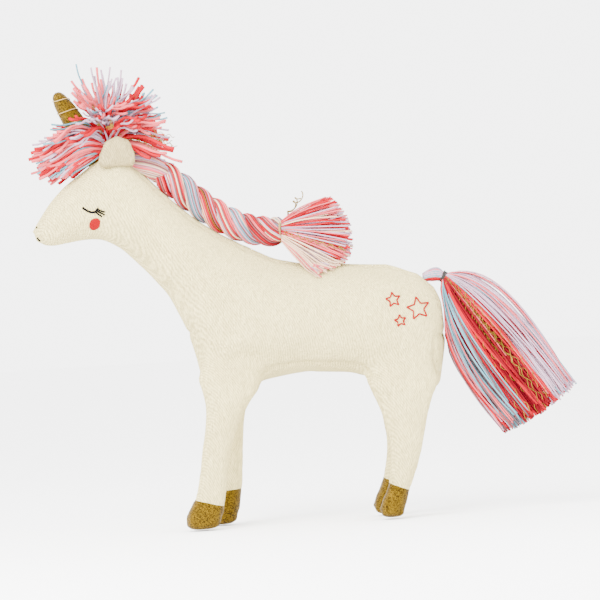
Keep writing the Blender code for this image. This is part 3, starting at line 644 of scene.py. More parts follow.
def midHeights(points):
    # halfway between the toy's top and bottom lines, along its length
    strip = points[np.abs(points[:, 1]) < 0.005]
    stations = np.linspace(strip[:, 0].min(), strip[:, 0].max(), 60)
    heights = []
    for x in stations:
        near = strip[np.abs(strip[:, 0] - x) < 0.005]
        heights.append((near[:, 2].max() + near[:, 2].min()) / 2)
    return stations, np.array(heights)


def cutPlane(bm, point, normal, near=None):
    # cuts new edges along a plane, through all faces or only the near ones
    if near is None:
        geometry = list(bm.verts) + list(bm.edges) + list(bm.faces)
    else:
        geometry = list({part for face in near for part in (face, *face.edges, *face.verts)})
    bmesh.ops.bisect_plane(bm, geom=geometry, dist=body["cutSnap"], plane_co=point, plane_no=normal)


def hoofSeam(legName):
    # the slanting seam between leg and hoof, read from the two cloth pieces
    low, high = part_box(legName + "_hoof_outer")
    points = coordinates(frame["nodes"][legName + "_hoof_outer"].data)
    front = points[points[:, 0] < low.x + 0.012]
    back = points[points[:, 0] > high.x - 0.009]
    first = Vector(front[front[:, 2].argmax()])
    last = Vector(back[back[:, 2].argmax()])
    slope = (last.z - first.z) / (last.x - first.x)
    if legName == "front_right":  # this seam is level and a little higher
        slope = 0
        first.z += body["farHoofRise"]
    return first, Vector((-slope, 0, 1)).normalized()


def clothOf(piece):
    # pieces of one cloth have no seam between them
    if "hoof" in piece:
        return piece
    if "inner" in piece:
        return "belly_gusset"
    if "outer" in piece:
        return ("left" if "left" in piece else "right") + "_side_panel"
    return piece


def splitSkin(skin):
    spread = abs(jointPoint("front_left_hip_flex").y)
    stations, heights = midHeights(coordinates(skin.data))
    bellyLow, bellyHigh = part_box("belly_gusset")
    hips = {name: jointPoint(name + "_hip_flex") for name in legNames}
    seams = {name: hoofSeam(name) for name in legNames}
    bm = bmesh.new()
    bm.from_mesh(skin.data)
    for offset in (-spread, -body["gussetHalf"], 0.0, body["gussetHalf"], spread):
        cutPlane(bm, (0, offset, 0), across)
    for name in ("front_left", "rear_left"):
        for point, normal in ((hips[name] + upward * body["legCut"], upward), seams[name]):
            near = []
            for face in bm.faces:
                centre = face.calc_center_median()
                if abs(centre.x - hips[name].x) < body["legHalf"] and centre.z < 0.115:
                    near.append(face)
            cutPlane(bm, point, normal, near)

    def pieceOf(centre):
        side = "left" if centre.y < 0 else "right"
        for name in ("front_" + side, "rear_" + side):
            hip = hips[name]
            beside = abs(centre.x - hip.x) < body["legHalf"] and abs(centre.y) > 0.004
            if beside and centre.z < hip.z + body["legCut"]:
                half = "_outer" if abs(centre.y) > spread else "_inner"
                point, normal = seams[name]
                part = "_hoof" if (centre - point).dot(normal) < 0 else "_leg"
                return name + part + half
        middle = np.interp(centre.x, stations, heights)
        if abs(centre.y) < body["gussetHalf"] and centre.z > middle:
            return "top_gusset"
        chest = bellyHigh.z + body["chestSlope"] * min(0.0, centre.x - bellyLow.x - 0.024)
        if abs(centre.y) < spread and centre.z < min(middle, chest) and centre.x > bellyLow.x:
            return "belly_gusset"
        return side + "_side_panel"

    pieces = [pieceOf(face.calc_center_median()) for face in bm.faces]
    sinkSeams(bm, pieces, stations[0])
    made = {}
    for name in sorted(set(pieces)):
        part = bm.copy()
        part.faces.ensure_lookup_table()
        doomed = [part.faces[i] for i, piece in enumerate(pieces) if piece != name]
        bmesh.ops.delete(part, geom=doomed, context="FACES")
        mesh = bpy.data.meshes.new(name + "_skin")
        part.to_mesh(mesh)
        part.free()
        mesh.shade_smooth()
        made[name] = addObject(name + "_skin", mesh, "gold" if "hoof" in name else "cream")
        calm = np.empty(len(mesh.vertices) * 3, dtype=np.float32)
        mesh.attributes["calmNormal"].data.foreach_get("vector", calm)
        mesh.normals_split_custom_set_from_vertices(calm.reshape(-1, 3).tolist())
    whole = bpy.data.meshes.new("wholeSkin")
    bm.to_mesh(whole)
    bm.free()
    return made, whole


def sinkSeams(bm, pieces, noseTip):
    # pulls the skin in along the seams, and keeps the normals of the whole skin
    seamDepths = {}
    for edge in bm.edges:
        cloths = {clothOf(pieces[face.index]) for face in edge.link_faces}
        if len(cloths) > 1:
            byHoof = any("hoof" in cloth for cloth in cloths)
            depth = body["hoofSeamDepth"] if byHoof else body["seamDepth"]
            for vert in edge.verts:
                seamDepths[vert.index] = depth * min(1.0, 0.15 + max(0.0, vert.co.x - noseTip) / 0.03)
    bm.normal_update()
    bm.verts.ensure_lookup_table()
    tree = KDTree(len(seamDepths))
    for index in seamDepths:
        tree.insert(bm.verts[index].co, index)
    tree.balance()
    reach = body["seamWidth"]
    moves = []
    for vert in bm.verts:
        _, index, distance = tree.find(vert.co)
        if distance < reach * 2.2:
            pucker = 1 + body["pucker"] * noise.noise(vert.co * body["puckerScale"])
            fall = math.exp(-(distance / reach) ** 2)
            moves.append((vert, -vert.normal * seamDepths[index] * fall * pucker))
    for vert, move in moves:
        vert.co += move
    bm.normal_update()
    layer = bm.verts.layers.float_vector.new("calmNormal")
    for vert in bm.verts:
        vert[layer] = vert.normal


def placeSkins(made):
    for name, obj in made.items():
        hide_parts(name)
        "gold_cloth" if "hoof" in name else "cream_cloth"
        legName = "_".join(name.split("_")[:2])
        if "hoof" in name:
            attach(obj, legName + "_leg")
        elif "_leg_" in name:
            hip = jointPoint(legName + "_hip_flex")
            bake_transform(obj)
        else:
            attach(obj, "torso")
        if name.endswith("_outer") and "hoof" not in name:
            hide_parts(legName + "_leg_fill")
        if name == "left_side_panel":
            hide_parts("torso_fill")


# yarn, in strands of many colours


def yarnPieces(prefix, strands, nodeNames, bodies, sides=6, spread=1.1):
    # strands: (points, radius, colour), one piece for each colour
    for colour in sorted({strand[2] for strand in strands}):
        chosen = [strand for strand in strands if strand[2] == colour]
        lines = [strand[0] for strand in chosen]
        radii = [strand[1] for strand in chosen]
        piece = makeTubes(prefix + "_" + colour, lines, radii, colour, sides, spread)
        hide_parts(*nodeNames)
        if len(bodies) == 1:
            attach(piece, bodies[0])
        else:
            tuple(bodies[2])
            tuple(bodies[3])
            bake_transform(piece)


def keepOutside(points, clearance):
    # lifts a strand's points off the cloth
    kept = []
    for point in points:
        spot, normal, _, _ = skinTree.find_nearest(Vector(point))
        gap = (Vector(point) - spot).dot(normal)
        if gap < clearance:
            point = spot + normal * clearance
        kept.append(tuple(point))
    return kept


def scatter(rand, size=1.0):
    # a small push in any direction
    return Vector([rand.gauss(0, 1) for _ in range(3)]) * size


def spoke(first, second, angle, radius):
    # from the middle of a ring to its edge, first and second being square to its axis
    return (first * math.cos(angle) + second * math.sin(angle)) * radius


def bezier(first, second, third, t):
    return first * (1 - t) ** 2 + second * 2 * t * (1 - t) + third * t ** 2


def bentLine(first, second, third, bend, steps):
    line = []
    for i in range(steps):
        t = i / (steps - 1)
        line.append(bezier(first, second, third, t) + bend * math.sin(math.pi * t))
    return line


def curlPoints(points, turns, radius, seed):
    # winds a thin metal thread about its own line
    out = []
    count = 60
    old = np.array([tuple(point) for point in points])
    at = np.linspace(0, len(old) - 1, count)
    points = np.stack([np.interp(at, np.arange(len(old)), old[:, k]) for k in range(3)], axis=1)
    for i, point in enumerate(points):
        ahead = Vector(points[min(i + 1, count - 1)]) - Vector(points[max(i - 1, 0)])
        run = ahead.normalized()
        first = run.orthogonal().normalized()
        angle = 2 * math.pi * (turns * i / (count - 1) + seed)
        out.append(tuple(Vector(point) + spoke(first, run.cross(first), angle, radius)))
    return out


def pickColour(shares, chance):
    # the shares add up to one
    total = 0
    for colour, share in shares.items():
        total += share
        if chance < total:
            return colour
    return colour


forelock = {
    "clusters": 112,
    "perCluster": 6,
    "points": 10,
    "reach": (0.058, 0.043, 0.057),
    "hubBelowTop": 0.0295,
    "hubBack": -0.0040,
    "stem": 0.011,
    "hubSize": 0.0021,
    "lowest": -0.78,
    "goldenTurn": 2.39996,
    "spread": 0.10,
    "sway": 0.0017,
    "bend": 0.0010,
    "arch": 0.006,
    "droop": 0.005,
    "sideBulge": 0.007,
    "colours": {"coralYarn": 0.31, "pinkYarn": 0.30, "lilacYarn": 0.24, "blueYarn": 0.08,
                "goldYarn": 0.07},
    "fringeClusters": 46,
    "brow": 150,
    "browBend": 0.0012,
    "browColours": {"coralYarn": 0.30, "pinkYarn": 0.32, "lilacYarn": 0.26, "blueYarn": 0.12},
    "radii": {"coralYarn": 0.00122, "pinkYarn": 0.00096, "lilacYarn": 0.00076, "blueYarn": 0.00068,
              "goldYarn": 0.00026},
    "clearance": 0.0011,
    "browClearance": 0.0013,
}
# no forelock strand goes round the ears and the horn, or low down behind or beside the brow
forelockRoom = {
    "earMargin": 0.0018,
    "earHalf": 0.0045,
    "earLean": 14,
    "lowestEnd": 0.2735,
    "lowestAway": 0.283,
    "behind": -0.128,
    "beside": 0.013,
    "hornRadius": 0.0098,
    "hornTaper": 0.0025,
    "hornTop": 0.56,
}


def forelockHeadings(rand):
    # all round, then a fringe over the brow on both sides of the horn
    lowest = forelock["lowest"]
    for cluster in range(forelock["clusters"]):
        height = lowest + (1 - lowest) * (cluster + 0.5) / forelock["clusters"]
        turn = cluster * forelock["goldenTurn"] + rand.uniform(-0.15, 0.15)
        flat = math.sqrt(max(0, 1 - height * height))
        yield Vector((math.cos(turn) * flat, math.sin(turn) * flat, height)), 0
    for cluster in range(forelock["fringeClusters"]):
        side = 1 if cluster % 2 else -1
        fall = rand.uniform(-0.10, 0.62)
        turn = rand.uniform(-0.15, 0.42)
        yield Vector((-math.cos(fall) * math.cos(turn), side * math.sin(turn), -math.sin(fall))), side


def cluttered(line, start):
    # says if a forelock strand would run into an ear, the horn or the neck
    room = forelockRoom
    earLow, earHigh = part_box("left_ear_front")
    margin = room["earMargin"]
    for point in line:
        byEar = earLow.x - margin < point.x < earHigh.x + margin and point.z < earHigh.z + 0.0015
        if byEar and abs(point.y) > earInner(point.z):
            return True
        if point.z < room["lowestEnd"]:
            return True
        away = point.x > room["behind"] or abs(point.y) > room["beside"]
        if away and point.z < room["lowestAway"]:
            return True
    return any(insideHorn(point) for point in line[start:])


def forelockStrand(hub, heading, side, sway, length, rand):
    # one strand of a cluster; side is 0 for the strands all round
    steps = forelock["points"]
    reach = forelock["reach"]
    aim = (heading + scatter(rand, forelock["spread"])).normalized()
    aim = Vector([aim[k] * reach[k] for k in range(3)]) * length * rand.uniform(0.86, 1.04)
    start = hub + scatter(rand, forelock["hubSize"])
    start += upward * forelock["stem"] * min(0.4, aim.z / reach[2])
    if side:
        start += across * side * rand.uniform(0.004, 0.010)
    bend = scatter(rand, forelock["bend"]) + sway
    line = []
    for i in range(steps):
        t = i / (steps - 1)
        spot = start + aim * t + bend * math.sin(math.pi * t)
        arch = forelock["arch"] * math.sin(math.pi * min(1, t * 1.2))
        spot += upward * (arch - forelock["droop"] * t * t)
        if side:
            spot += across * side * forelock["sideBulge"] * math.sin(math.pi * min(1.0, t * 1.1))
        line.append(spot)
    return [Vector(point) for point in keepOutside(line, forelock["clearance"])]


def browStrand(hub, side, rand):
    # over the brow and down beside the root of the horn
    root = jointPoint("horn_flex")
    start = hub + Vector((-0.003, side * rand.uniform(0.002, 0.006), -rand.uniform(0.002, 0.008)))
    past = root.x + rand.uniform(-0.006, 0.007)
    past = Vector((past, side * rand.uniform(0.0125, 0.0150), root.z + rand.uniform(-0.002, 0.010)))
    end = root.x - rand.uniform(0.018, 0.030)
    end = Vector((end, side * rand.uniform(0.005, 0.0175), root.z - rand.uniform(0.006, 0.017)))
    line = bentLine(start, past, end, scatter(rand, forelock["browBend"]), forelock["points"])
    return keepOutside(line, forelock["browClearance"])


def makeForelock():
    rand = random.Random(5)
    low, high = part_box("forelock")
    hub = (low + high) / 2
    hub.y = 0
    hub.x += forelock["hubBack"]
    hub.z = (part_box("left_ear_front")[1].z + high.z) / 2 - forelock["hubBelowTop"]
    strands = []
    for heading, side in forelockHeadings(rand):
        colour = pickColour(forelock["colours"], rand.random())
        length = rand.uniform(0.80, 1.04)
        sway = scatter(rand, forelock["sway"])
        for _ in range(forelock["perCluster"]):
            shade = colour if rand.random() < 0.72 else pickColour(forelock["colours"], rand.random())
            line = forelockStrand(hub, heading, side, sway, length, rand)
            if cluttered(line, 2 if side else 3):
                continue
            if shade == "goldYarn":
                if side or heading.x < -0.6:
                    continue
                line = curlPoints(line, rand.uniform(6, 10), 0.0011, rand.random())
            strands.append((line, forelock["radii"][shade] * rand.uniform(0.9, 1.12), shade))
    for number in range(forelock["brow"]):
        shade = pickColour(forelock["browColours"], rand.random())
        line = browStrand(hub, 1 if number % 2 else -1, rand)
        strands.append((line, forelock["radii"][shade] * rand.uniform(0.9, 1.1), shade))
    yarnPieces("forelock", strands, ("forelock",), ("torso",))
    print("forelock strands", len(strands))
    return hub


def earInner(z):
    # the ear's inner face as it leans in as far as it goes
    seam = jointPoint("left_ear_flop")
    lean = math.tan(math.radians(forelockRoom["earLean"]))
    return abs(seam.y) - forelockRoom["earHalf"] - max(0.0, z - seam.z) * lean


def hornAxis():
    base = jointPoint("horn_flex")
    points = coordinates(frame["nodes"]["horn_cover"].data)
    far = points[np.linalg.norm(points - np.array(base), axis=1).argmax()]
    return base, Vector((far[0], 0, far[2]))


def insideHorn(point):
    base, tip = hornLine
    run = tip - base
    share = max(0.0, min(1.05, (point - base).dot(run) / run.length_squared))
    away = point - (base + run * share)
    if share > forelockRoom["hornTop"]:
        away.y = 0
    return away.length < forelockRoom["hornRadius"] - forelockRoom["hornTaper"] * share


# the plait with its gather, tie and tassel

plait = {
    "rise": 0.0068,
    "riseLength": 0.38,
    "sink": 0.0040,
    "startAhead": 0.0165,
    "turns": 2.5,
    "steps": 70,
    "filaments": 27,
    "swing": 0.0061,
    "dip": 0.0052,
    "pinch": (0.40, 0.95),
    "thick": 0.0053,
    "core": 0.00424,
    "thin": (0.32, 0.96),
    "twist": 0.9,
    "threadRadius": 0.00058,
    "threadSizes": {"coralYarn": 1.1, "goldYarn": 0.6},
    "clearance": 0.0003,
    "blendAhead": 0.010,
    "blendBehind": 0.014,
    # dark cores inside the three strands: painted shade seen in the gaps between the threads
    "shadeCores": ("crimsonYarn", "greyYarn", "duskYarn"),
    "paler": ("lilacYarn", "creamYarn", "pinkYarn", "duskYarn"),
}
plaitColours = (
    ("coralYarn", "crimsonYarn", "coralYarn", "pinkYarn", "coralYarn",
     "duskYarn", "crimsonYarn", "coralYarn", "pinkYarn"),
    ("blueYarn", "lilacYarn", "blueYarn", "greyYarn", "lilacYarn",
     "creamYarn", "blueYarn", "lilacYarn", "duskYarn"),
    ("pinkYarn", "coralYarn", "duskYarn", "creamYarn", "coralYarn",
     "duskYarn", "lilacYarn", "coralYarn", "pinkYarn"),
)


def plaitPath():
    # the centre line of the three strands, fitted smooth
    points = np.concatenate([coordinates(frame["nodes"]["mane_strand_%d" % n].data) for n in (1, 2, 3)])
    lift = np.polyfit(points[:, 0], points[:, 2], 4)
    lean = np.polyfit(points[:, 0], points[:, 1], 2)
    start = jointPoint("plait_lift").x - plait["startAhead"]
    tieLow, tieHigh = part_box("mane_tie")
    tie = (tieLow + tieHigh) / 2
    xs = np.linspace(start, tie.x, plait["steps"])
    path = [Vector((x, np.polyval(lean, x), np.polyval(lift, x))) for x in xs]
    shift = tie - path[-1]
    for i, point in enumerate(path):
        share = i / (len(path) - 1)
        rise = plait["rise"] * max(0.0, 1 - share / plait["riseLength"]) ** 2
        point += shift * share ** 3
        point.z += rise - plait["sink"] * math.sin(math.pi * share)
        point.x += rise * 0.25
    return path


def crossing(run):
    # square to the run, in the toy's own middle plane
    return Vector((-run.z, 0, run.x))


def narrowed(amount, start, share):
    # one up to the start, then less by the amount at the end
    return 1 - amount * max(0.0, (share - start) / (1 - start))


def stepAlong(line, i):
    return (line[min(i + 1, len(line) - 1)] - line[max(i - 1, 0)]).normalized()


def plaitCore(path, number):
    # one of the three strands weaves from side to side about the path
    core = []
    for i, centre in enumerate(path):
        run = stepAlong(path, i)
        wide = crossing(run).normalized()
        share = i / (len(path) - 1)
        phase = 2 * math.pi * (plait["turns"] * share + number / 3)
        away = run.cross(wide) * plait["dip"] * math.cos(phase) - wide * plait["swing"] * math.sin(phase)
        core.append(centre + away * narrowed(*plait["pinch"], share))
    return core


def plaitThread(path, core, angle, depth):
    # a thread on the outside of one strand
    line = []
    for i, centre in enumerate(core):
        share = i / (len(core) - 1)
        thick = plait["thick"] * narrowed(*plait["thin"], share)
        run = stepAlong(core, i)
        wide = crossing(stepAlong(path, i)).normalized()
        wide = (wide - run * run.dot(wide)).normalized()
        turned = angle + plait["twist"] * 2 * math.pi * share
        line.append(centre + spoke(wide, run.cross(wide), turned, thick * depth))
    return keepOutside(line, plait["clearance"])


def makePlait():
    rand = random.Random(8)
    path = plaitPath()
    strands = []
    for number, colours in enumerate(plaitColours):
        core = plaitCore(path, number)
        # each strand's dark core, seen between its threads, is painted shade
        strands.append((core, plait["core"], plait["shadeCores"][number]))
        for thread in range(plait["filaments"]):
            angle = 2 * math.pi * thread / plait["filaments"] + rand.uniform(-0.06, 0.06)
            depth = 1.0 if thread % 2 else rand.choice((0.97, 0.94, 0.90))
            colour = colours[thread % len(colours)]
            if thread % 2 and rand.random() < 0.5:
                colour = rand.choice(plait["paler"])
            if rand.random() < 0.03:
                colour = "goldYarn"
            size = plait["threadRadius"] * rand.uniform(0.85, 1.2) * plait["threadSizes"].get(colour, 1)
            strands.append((plaitThread(path, core, angle, depth), size, colour))
    turn = jointPoint("plait_lift")
    run = (path[12] - path[4]).normalized()
    yarnPieces("plait", strands, ("mane_strand_1", "mane_strand_2", "mane_strand_3"),
               ("mane_root", "plait", turn - run * plait["blendAhead"], turn + run * plait["blendBehind"]),
               sides=5)
    print("plait threads", len(strands))
    return path


gather = {
    "threads": 150,
    "points": 12,
    "wide": 0.0088,
    "deep": 0.0096,
    "twist": 0.7,
    "radius": 0.00038,
    "clearance": 0.0008,
    "start": (0.008, 0, -0.012),
    "middle": (-0.004, 0, 0.008),
    "colours": {"pinkYarn": 0.34, "lilacYarn": 0.28, "creamYarn": 0.20, "duskYarn": 0.10,
                "coralYarn": 0.08},
}


def makeGather(hub, path):
    # the yarn bunches together between the forelock and the plait
    rand = random.Random(11)
    start = hub + Vector(gather["start"])
    middle = path[0] + Vector(gather["middle"])
    end = path[7]
    strands = []
    for thread in range(gather["threads"]):
        angle = 2 * math.pi * thread / gather["threads"]
        colour = pickColour(gather["colours"], rand.random())
        depth = rand.uniform(0.72, 1.0)
        line = []
        for i in range(gather["points"]):
            t = i / (gather["points"] - 1)
            run = ((middle - start) * (1 - t) + (end - middle) * t).normalized()
            swell = depth * (0.55 + 0.5 * math.sin(math.pi * min(1.0, 0.12 + t * 0.85)))
            wide = crossing(run) * gather["wide"]
            away = spoke(wide, across * gather["deep"], angle + gather["twist"] * t, swell)
            line.append(bezier(start, middle, end, t) + away)
        line = keepOutside(line, gather["clearance"])
        strands.append((line, gather["radius"] * rand.uniform(0.85, 1.25), colour))
    turn = jointPoint("mane_swing")
    yarnPieces("gather", strands, ("mane_gather",),
               ("torso", "mane_root", turn + Vector((-0.010, 0, 0.006)), turn + Vector((0.006, 0, -0.005))),
               sides=5)
    print("gather threads", len(strands))


def windThread(name, centre, axis, radius, threadRadius, turns, colour, nodeName, bodyName):
    # a thread wound a few times round a bunch of yarn
    first = axis.orthogonal().normalized()
    second = axis.cross(first).normalized()
    steps = int(turns * 20)
    rand = random.Random(3)
    line = []
    for i in range(steps + 1):
        angle = 2 * math.pi * turns * i / steps
        along = (i / steps - 0.5) * threadRadius * 2.1 * turns
        reach = radius * (1 + 0.05 * math.sin(angle * 2.3 + rand.random() * 0.2))
        line.append(centre + axis * along + spoke(first, second, angle, reach))
    piece = makeTubes(name, [line], [threadRadius], colour)
    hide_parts(nodeName)
    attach(piece, bodyName)


tassel = {
    "strands": 520,
    "points": 11,
    "fan": (-57, 34),
    "reach": (0.042, 0.054),
    "depth": 0.0125,
    "drape": -0.013,
    "drapeBelow": 0.55,
    "pinch": 0.0078,
    "flare": 0.006,
    "leadLength": 0.17,
    "sway": 0.0012,
    "clearance": (0.0010, 0.0045),
    "radii": {"coralYarn": 0.00066, "goldYarn": 0.00030},
    "radius": 0.00050,
    "bend": 0.016,
    "tieRadius": 0.0082,
    "tieThread": 0.00040,
}
# the colours of the strands up to each height, from the lowest strand to the highest
tasselColours = (
    (0.36, {"creamYarn": 0.54, "pinkYarn": 0.24, "lilacYarn": 0.20, "coralYarn": 0.02}),
    (0.52, {"pinkYarn": 0.38, "coralYarn": 0.12, "lilacYarn": 0.28, "creamYarn": 0.12, "goldYarn": 0.10}),
    (0.90, {"pinkYarn": 0.36, "lilacYarn": 0.46, "creamYarn": 0.10, "coralYarn": 0.08}),
    (1.00, {"coralYarn": 0.50, "pinkYarn": 0.50}),
)
goldCurl = {
    "curls": ((0.0, 3.2), (0.35, 2.4)),
    "points": 60,
    "loop": (0.0004, 0.0028),
    "radius": 0.00046,
}


def mixAt(bands, share):
    # the mix of the first band that reaches this far
    for top, mix in bands:
        if share <= top:
            return mix
    return bands[-1][1]


def makeTassel(path):
    rand = random.Random(21)
    root = path[-1]
    run = (path[-1] - path[-4]).normalized()
    outward = crossing(run).normalized()
    pinch = tassel["pinch"]
    fanLow, fanHigh = tassel["fan"]
    reachLow, reachHigh = tassel["reach"]
    nearest, farthest = tassel["clearance"]
    strands = []
    for number in range(tassel["strands"]):
        share = (number + rand.random()) / tassel["strands"]
        colour = pickColour(mixAt(tasselColours, share), rand.random())
        angle = math.radians(fanLow + (fanHigh - fanLow) * share ** 1.2)
        length = reachLow + (reachHigh - reachLow) * math.sin(math.pi * min(1, 0.15 + share * 0.8))
        length *= rand.uniform(0.88, 1.05)
        layer = rand.uniform(-1, 1)
        drape = tassel["drape"] * max(0.0, 1 - share / tassel["drapeBelow"])
        start = root + outward * pinch * (share * 2 - 1) + across * pinch * layer
        end = root + Vector((math.cos(angle), 0, math.sin(angle))) * length
        end.y = root.y + layer * tassel["depth"] * (1.15 if share > 0.5 else 0.8) + drape
        heading = Vector((math.cos(angle * 1.25), 0, math.sin(angle * 1.25)))
        lead = (run + heading * 1.6) * length * tassel["leadLength"] + across * layer * tassel["flare"]
        line = bentLine(start, start + lead, end, scatter(rand, tassel["sway"]), tassel["points"])
        line = keepOutside(line, nearest + (farthest - nearest) * rand.random())
        size = tassel["radii"].get(colour, tassel["radius"]) * rand.uniform(0.9, 1.15)
        if colour == "goldYarn":
            line = curlPoints(line, rand.uniform(6, 9), 0.0012, rand.random())
        strands.append((line, size, colour))
    bodies = ("plait", "tassel", root, root + run * tassel["bend"])
    yarnPieces("tassel", strands, ("mane_tassel",), bodies)
    windThread("maneTieThread", root - run * 0.0004, run, tassel["tieRadius"], tassel["tieThread"], 2,
               "paleThread", "mane_tie", "plait")
    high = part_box("mane_gold_thread")[1]
    start = root + Vector((-0.001, 0, 0.004))
    end = Vector((high.x + 0.004, root.y - 0.001, high.z))
    loopStart, loopEnd = goldCurl["loop"]
    curls = []
    for offset, turns in goldCurl["curls"]:
        line = []
        for i in range(goldCurl["points"]):
            t = i / (goldCurl["points"] - 1)
            angle = 2 * math.pi * (turns * t + offset)
            ring = Vector((math.cos(angle), 0.5 * math.sin(angle * 1.3), math.sin(angle)))
            line.append(start.lerp(end, t) + ring * (loopStart + (loopEnd - loopStart) * t))
        curls.append((line, goldCurl["radius"], "goldYarn"))
    yarnPieces("goldCurl", curls, ("mane_gold_thread",), bodies, spread=1.0)
    print("tassel strands", len(strands), "curls", len(curls))


# the tail

tail = {
    "strands": 800,
    "points": 16,
    "pinch": 0.0034,
    "depth": 0.0185,
    "upperLead": (0.0373, 0, 0.0044),
    "lowerLead": (-0.0070, 0, -0.0590),
    "upperEnd": (0.0960, 0, -0.0870),
    "lowerEnd": (0.0380, 0, -0.1220),
    "endBulge": 0.1056,
    "sway": 0.0016,
    "wave": 0.0005,
    "clump": 9,
    "stray": 0.0021,
    "clearance": 0.0022,
    "radii": {"coralYarn": 0.00078, "crimsonYarn": 0.00078, "goldYarn": 0.00028, "blueYarn": 0.00060},
    "radius": 0.00050,
    "bend": 0.024,
    "tieRadius": 0.0043,
    "tieThread": 0.00036,
}
# the colours of the strands up to each share, from the upper edge to the lower one
tailColours = (
    (0.06, {"lilacYarn": 0.56, "blueYarn": 0.24, "pinkYarn": 0.20}),
    (0.34, {"lilacYarn": 0.58, "pinkYarn": 0.30, "coralYarn": 0.10, "blueYarn": 0.02}),
    (0.72, {"coralYarn": 0.71, "pinkYarn": 0.07, "goldYarn": 0.20, "lilacYarn": 0.02}),
    (0.86, {"blueYarn": 0.36, "greyYarn": 0.34, "pinkYarn": 0.15, "duskYarn": 0.15}),
    (1.00, {"duskYarn": 0.34, "coralYarn": 0.14, "pinkYarn": 0.26, "lilacYarn": 0.16, "greyYarn": 0.10}),
)
tailLoop = {
    "threads": 60,
    "points": 12,
    "radius": 0.00052,
    "rise": 0.003,
    "swell": (0.0022, 0.0026),
    "colours": {"lilacYarn": 0.6, "blueYarn": 0.28, "pinkYarn": 0.12},
    "coralBelow": -0.45,
}


def tailColour(share, layer, rand):
    # layer runs from the far side to the near one; below the upper third most coral strands take the shaded
    # coral, more often inside the bundle than at its sides: painted shade in the depth of the tail
    colour = pickColour(mixAt(tailColours, share), rand.random())
    shadedChance = 0.8 if abs(layer) < 0.6 else 0.55
    if colour == "coralYarn" and share > 0.34 and rand.random() < shadedChance:
        return "crimsonYarn"
    return colour


def makeTail():
    rand = random.Random(34)
    tieLow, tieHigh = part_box("tail_tie")
    tie = (tieLow + tieHigh) / 2
    run = (jointPoint("tail_lift") - tie).normalized()
    begin = tie + run * 0.001
    upperLead, lowerLead, upperEnd, lowerEnd = [
        Vector(tail[name]) for name in ("upperLead", "lowerLead", "upperEnd", "lowerEnd")]
    pinch = tail["pinch"]
    strands = []
    for number in range(tail["strands"]):
        if number % tail["clump"] == 0:
            stray = scatter(rand, tail["stray"])
        share = (number + rand.random()) / tail["strands"]
        layer = rand.uniform(-1, 1)
        colour = tailColour(min(0.999, max(0.0, share + rand.gauss(0, 0.045))), layer, rand)
        thick = math.sqrt(max(0.0, 1 - (share * 2 - 1) ** 2 * 0.62))
        lead = upperLead.lerp(lowerLead, share)
        end = upperEnd.lerp(lowerEnd, share)
        end *= (1 + tail["endBulge"] * share * (1 - share)) * rand.uniform(0.93, 1.015)
        side = across * layer * tail["depth"] * thick
        start = begin + across * layer * pinch * 0.9 + crossing(run) * (1 - share * 2) * pinch * 0.8
        bend = scatter(rand, tail["sway"]) + stray
        line = bentLine(start, begin + lead + side * 0.62, begin + end + side, bend, tail["points"])
        for i in range(tail["points"]):
            turn = 2 * math.pi * (i / (tail["points"] - 1) * 1.5 + share * 5 + layer)
            line[i] += across * math.sin(turn) * tail["wave"]
        line = keepOutside(line, tail["clearance"])
        if colour == "goldYarn":
            line = curlPoints(line, rand.uniform(11, 16), 0.0013, rand.random())
        size = tail["radii"].get(colour, tail["radius"])
        strands.append((line, size * rand.uniform(0.88, 1.15), colour))
    yarnPieces("tail", strands, ("tail_skirt",), ("tail_root", "tail", begin, begin + run * tail["bend"]))
    print("tail strands", len(strands))

    # the short loop from the seam up to the tie, coral underneath
    seam = jointPoint("tail_swing")
    bulge = (seam + tie) / 2
    bulge = Vector((bulge.x, 0, bulge.z + tailLoop["rise"]))
    slim, swell = tailLoop["swell"]
    loops = []
    for number in range(tailLoop["threads"]):
        angle = 2 * math.pi * number / tailLoop["threads"]
        colour = pickColour(tailLoop["colours"], rand.random())
        if math.sin(angle) < tailLoop["coralBelow"]:
            colour = "coralYarn"
        line = []
        for i in range(tailLoop["points"]):
            t = i / (tailLoop["points"] - 1)
            centre = bezier(seam - Vector((0.009, 0, 0.003)), bulge, begin, t)
            reach = slim + swell * math.sin(math.pi * (0.08 + 0.84 * t)) * rand.uniform(0.9, 1.1)
            line.append(centre + spoke(across, upward, angle, reach))
        loops.append((line, tailLoop["radius"], colour))
    yarnPieces("tailLoop", loops, ("tail_loop",), ("tail_root",), spread=1.0)
    windThread("tailTieThread", tie, run, tail["tieRadius"], tail["tieThread"], 4,
               "greyThread", "tail_tie", "tail_root")
    print("tail loop threads", len(loops))


# the ears and the horn

ear = {
    "lower": 0.0020,
    "voxel": 0.0011,
    "grow": 0.0006,
    "rounds": 6,
    "seamDepth": 0.0006,
    "seamWidth": 0.0011,
    "heights": (0, 0.2, 0.42, 0.63, 0.83, 1),
    "widths": (0.93, 1.08, 1.14, 1.12, 1.26, 1.06),
}


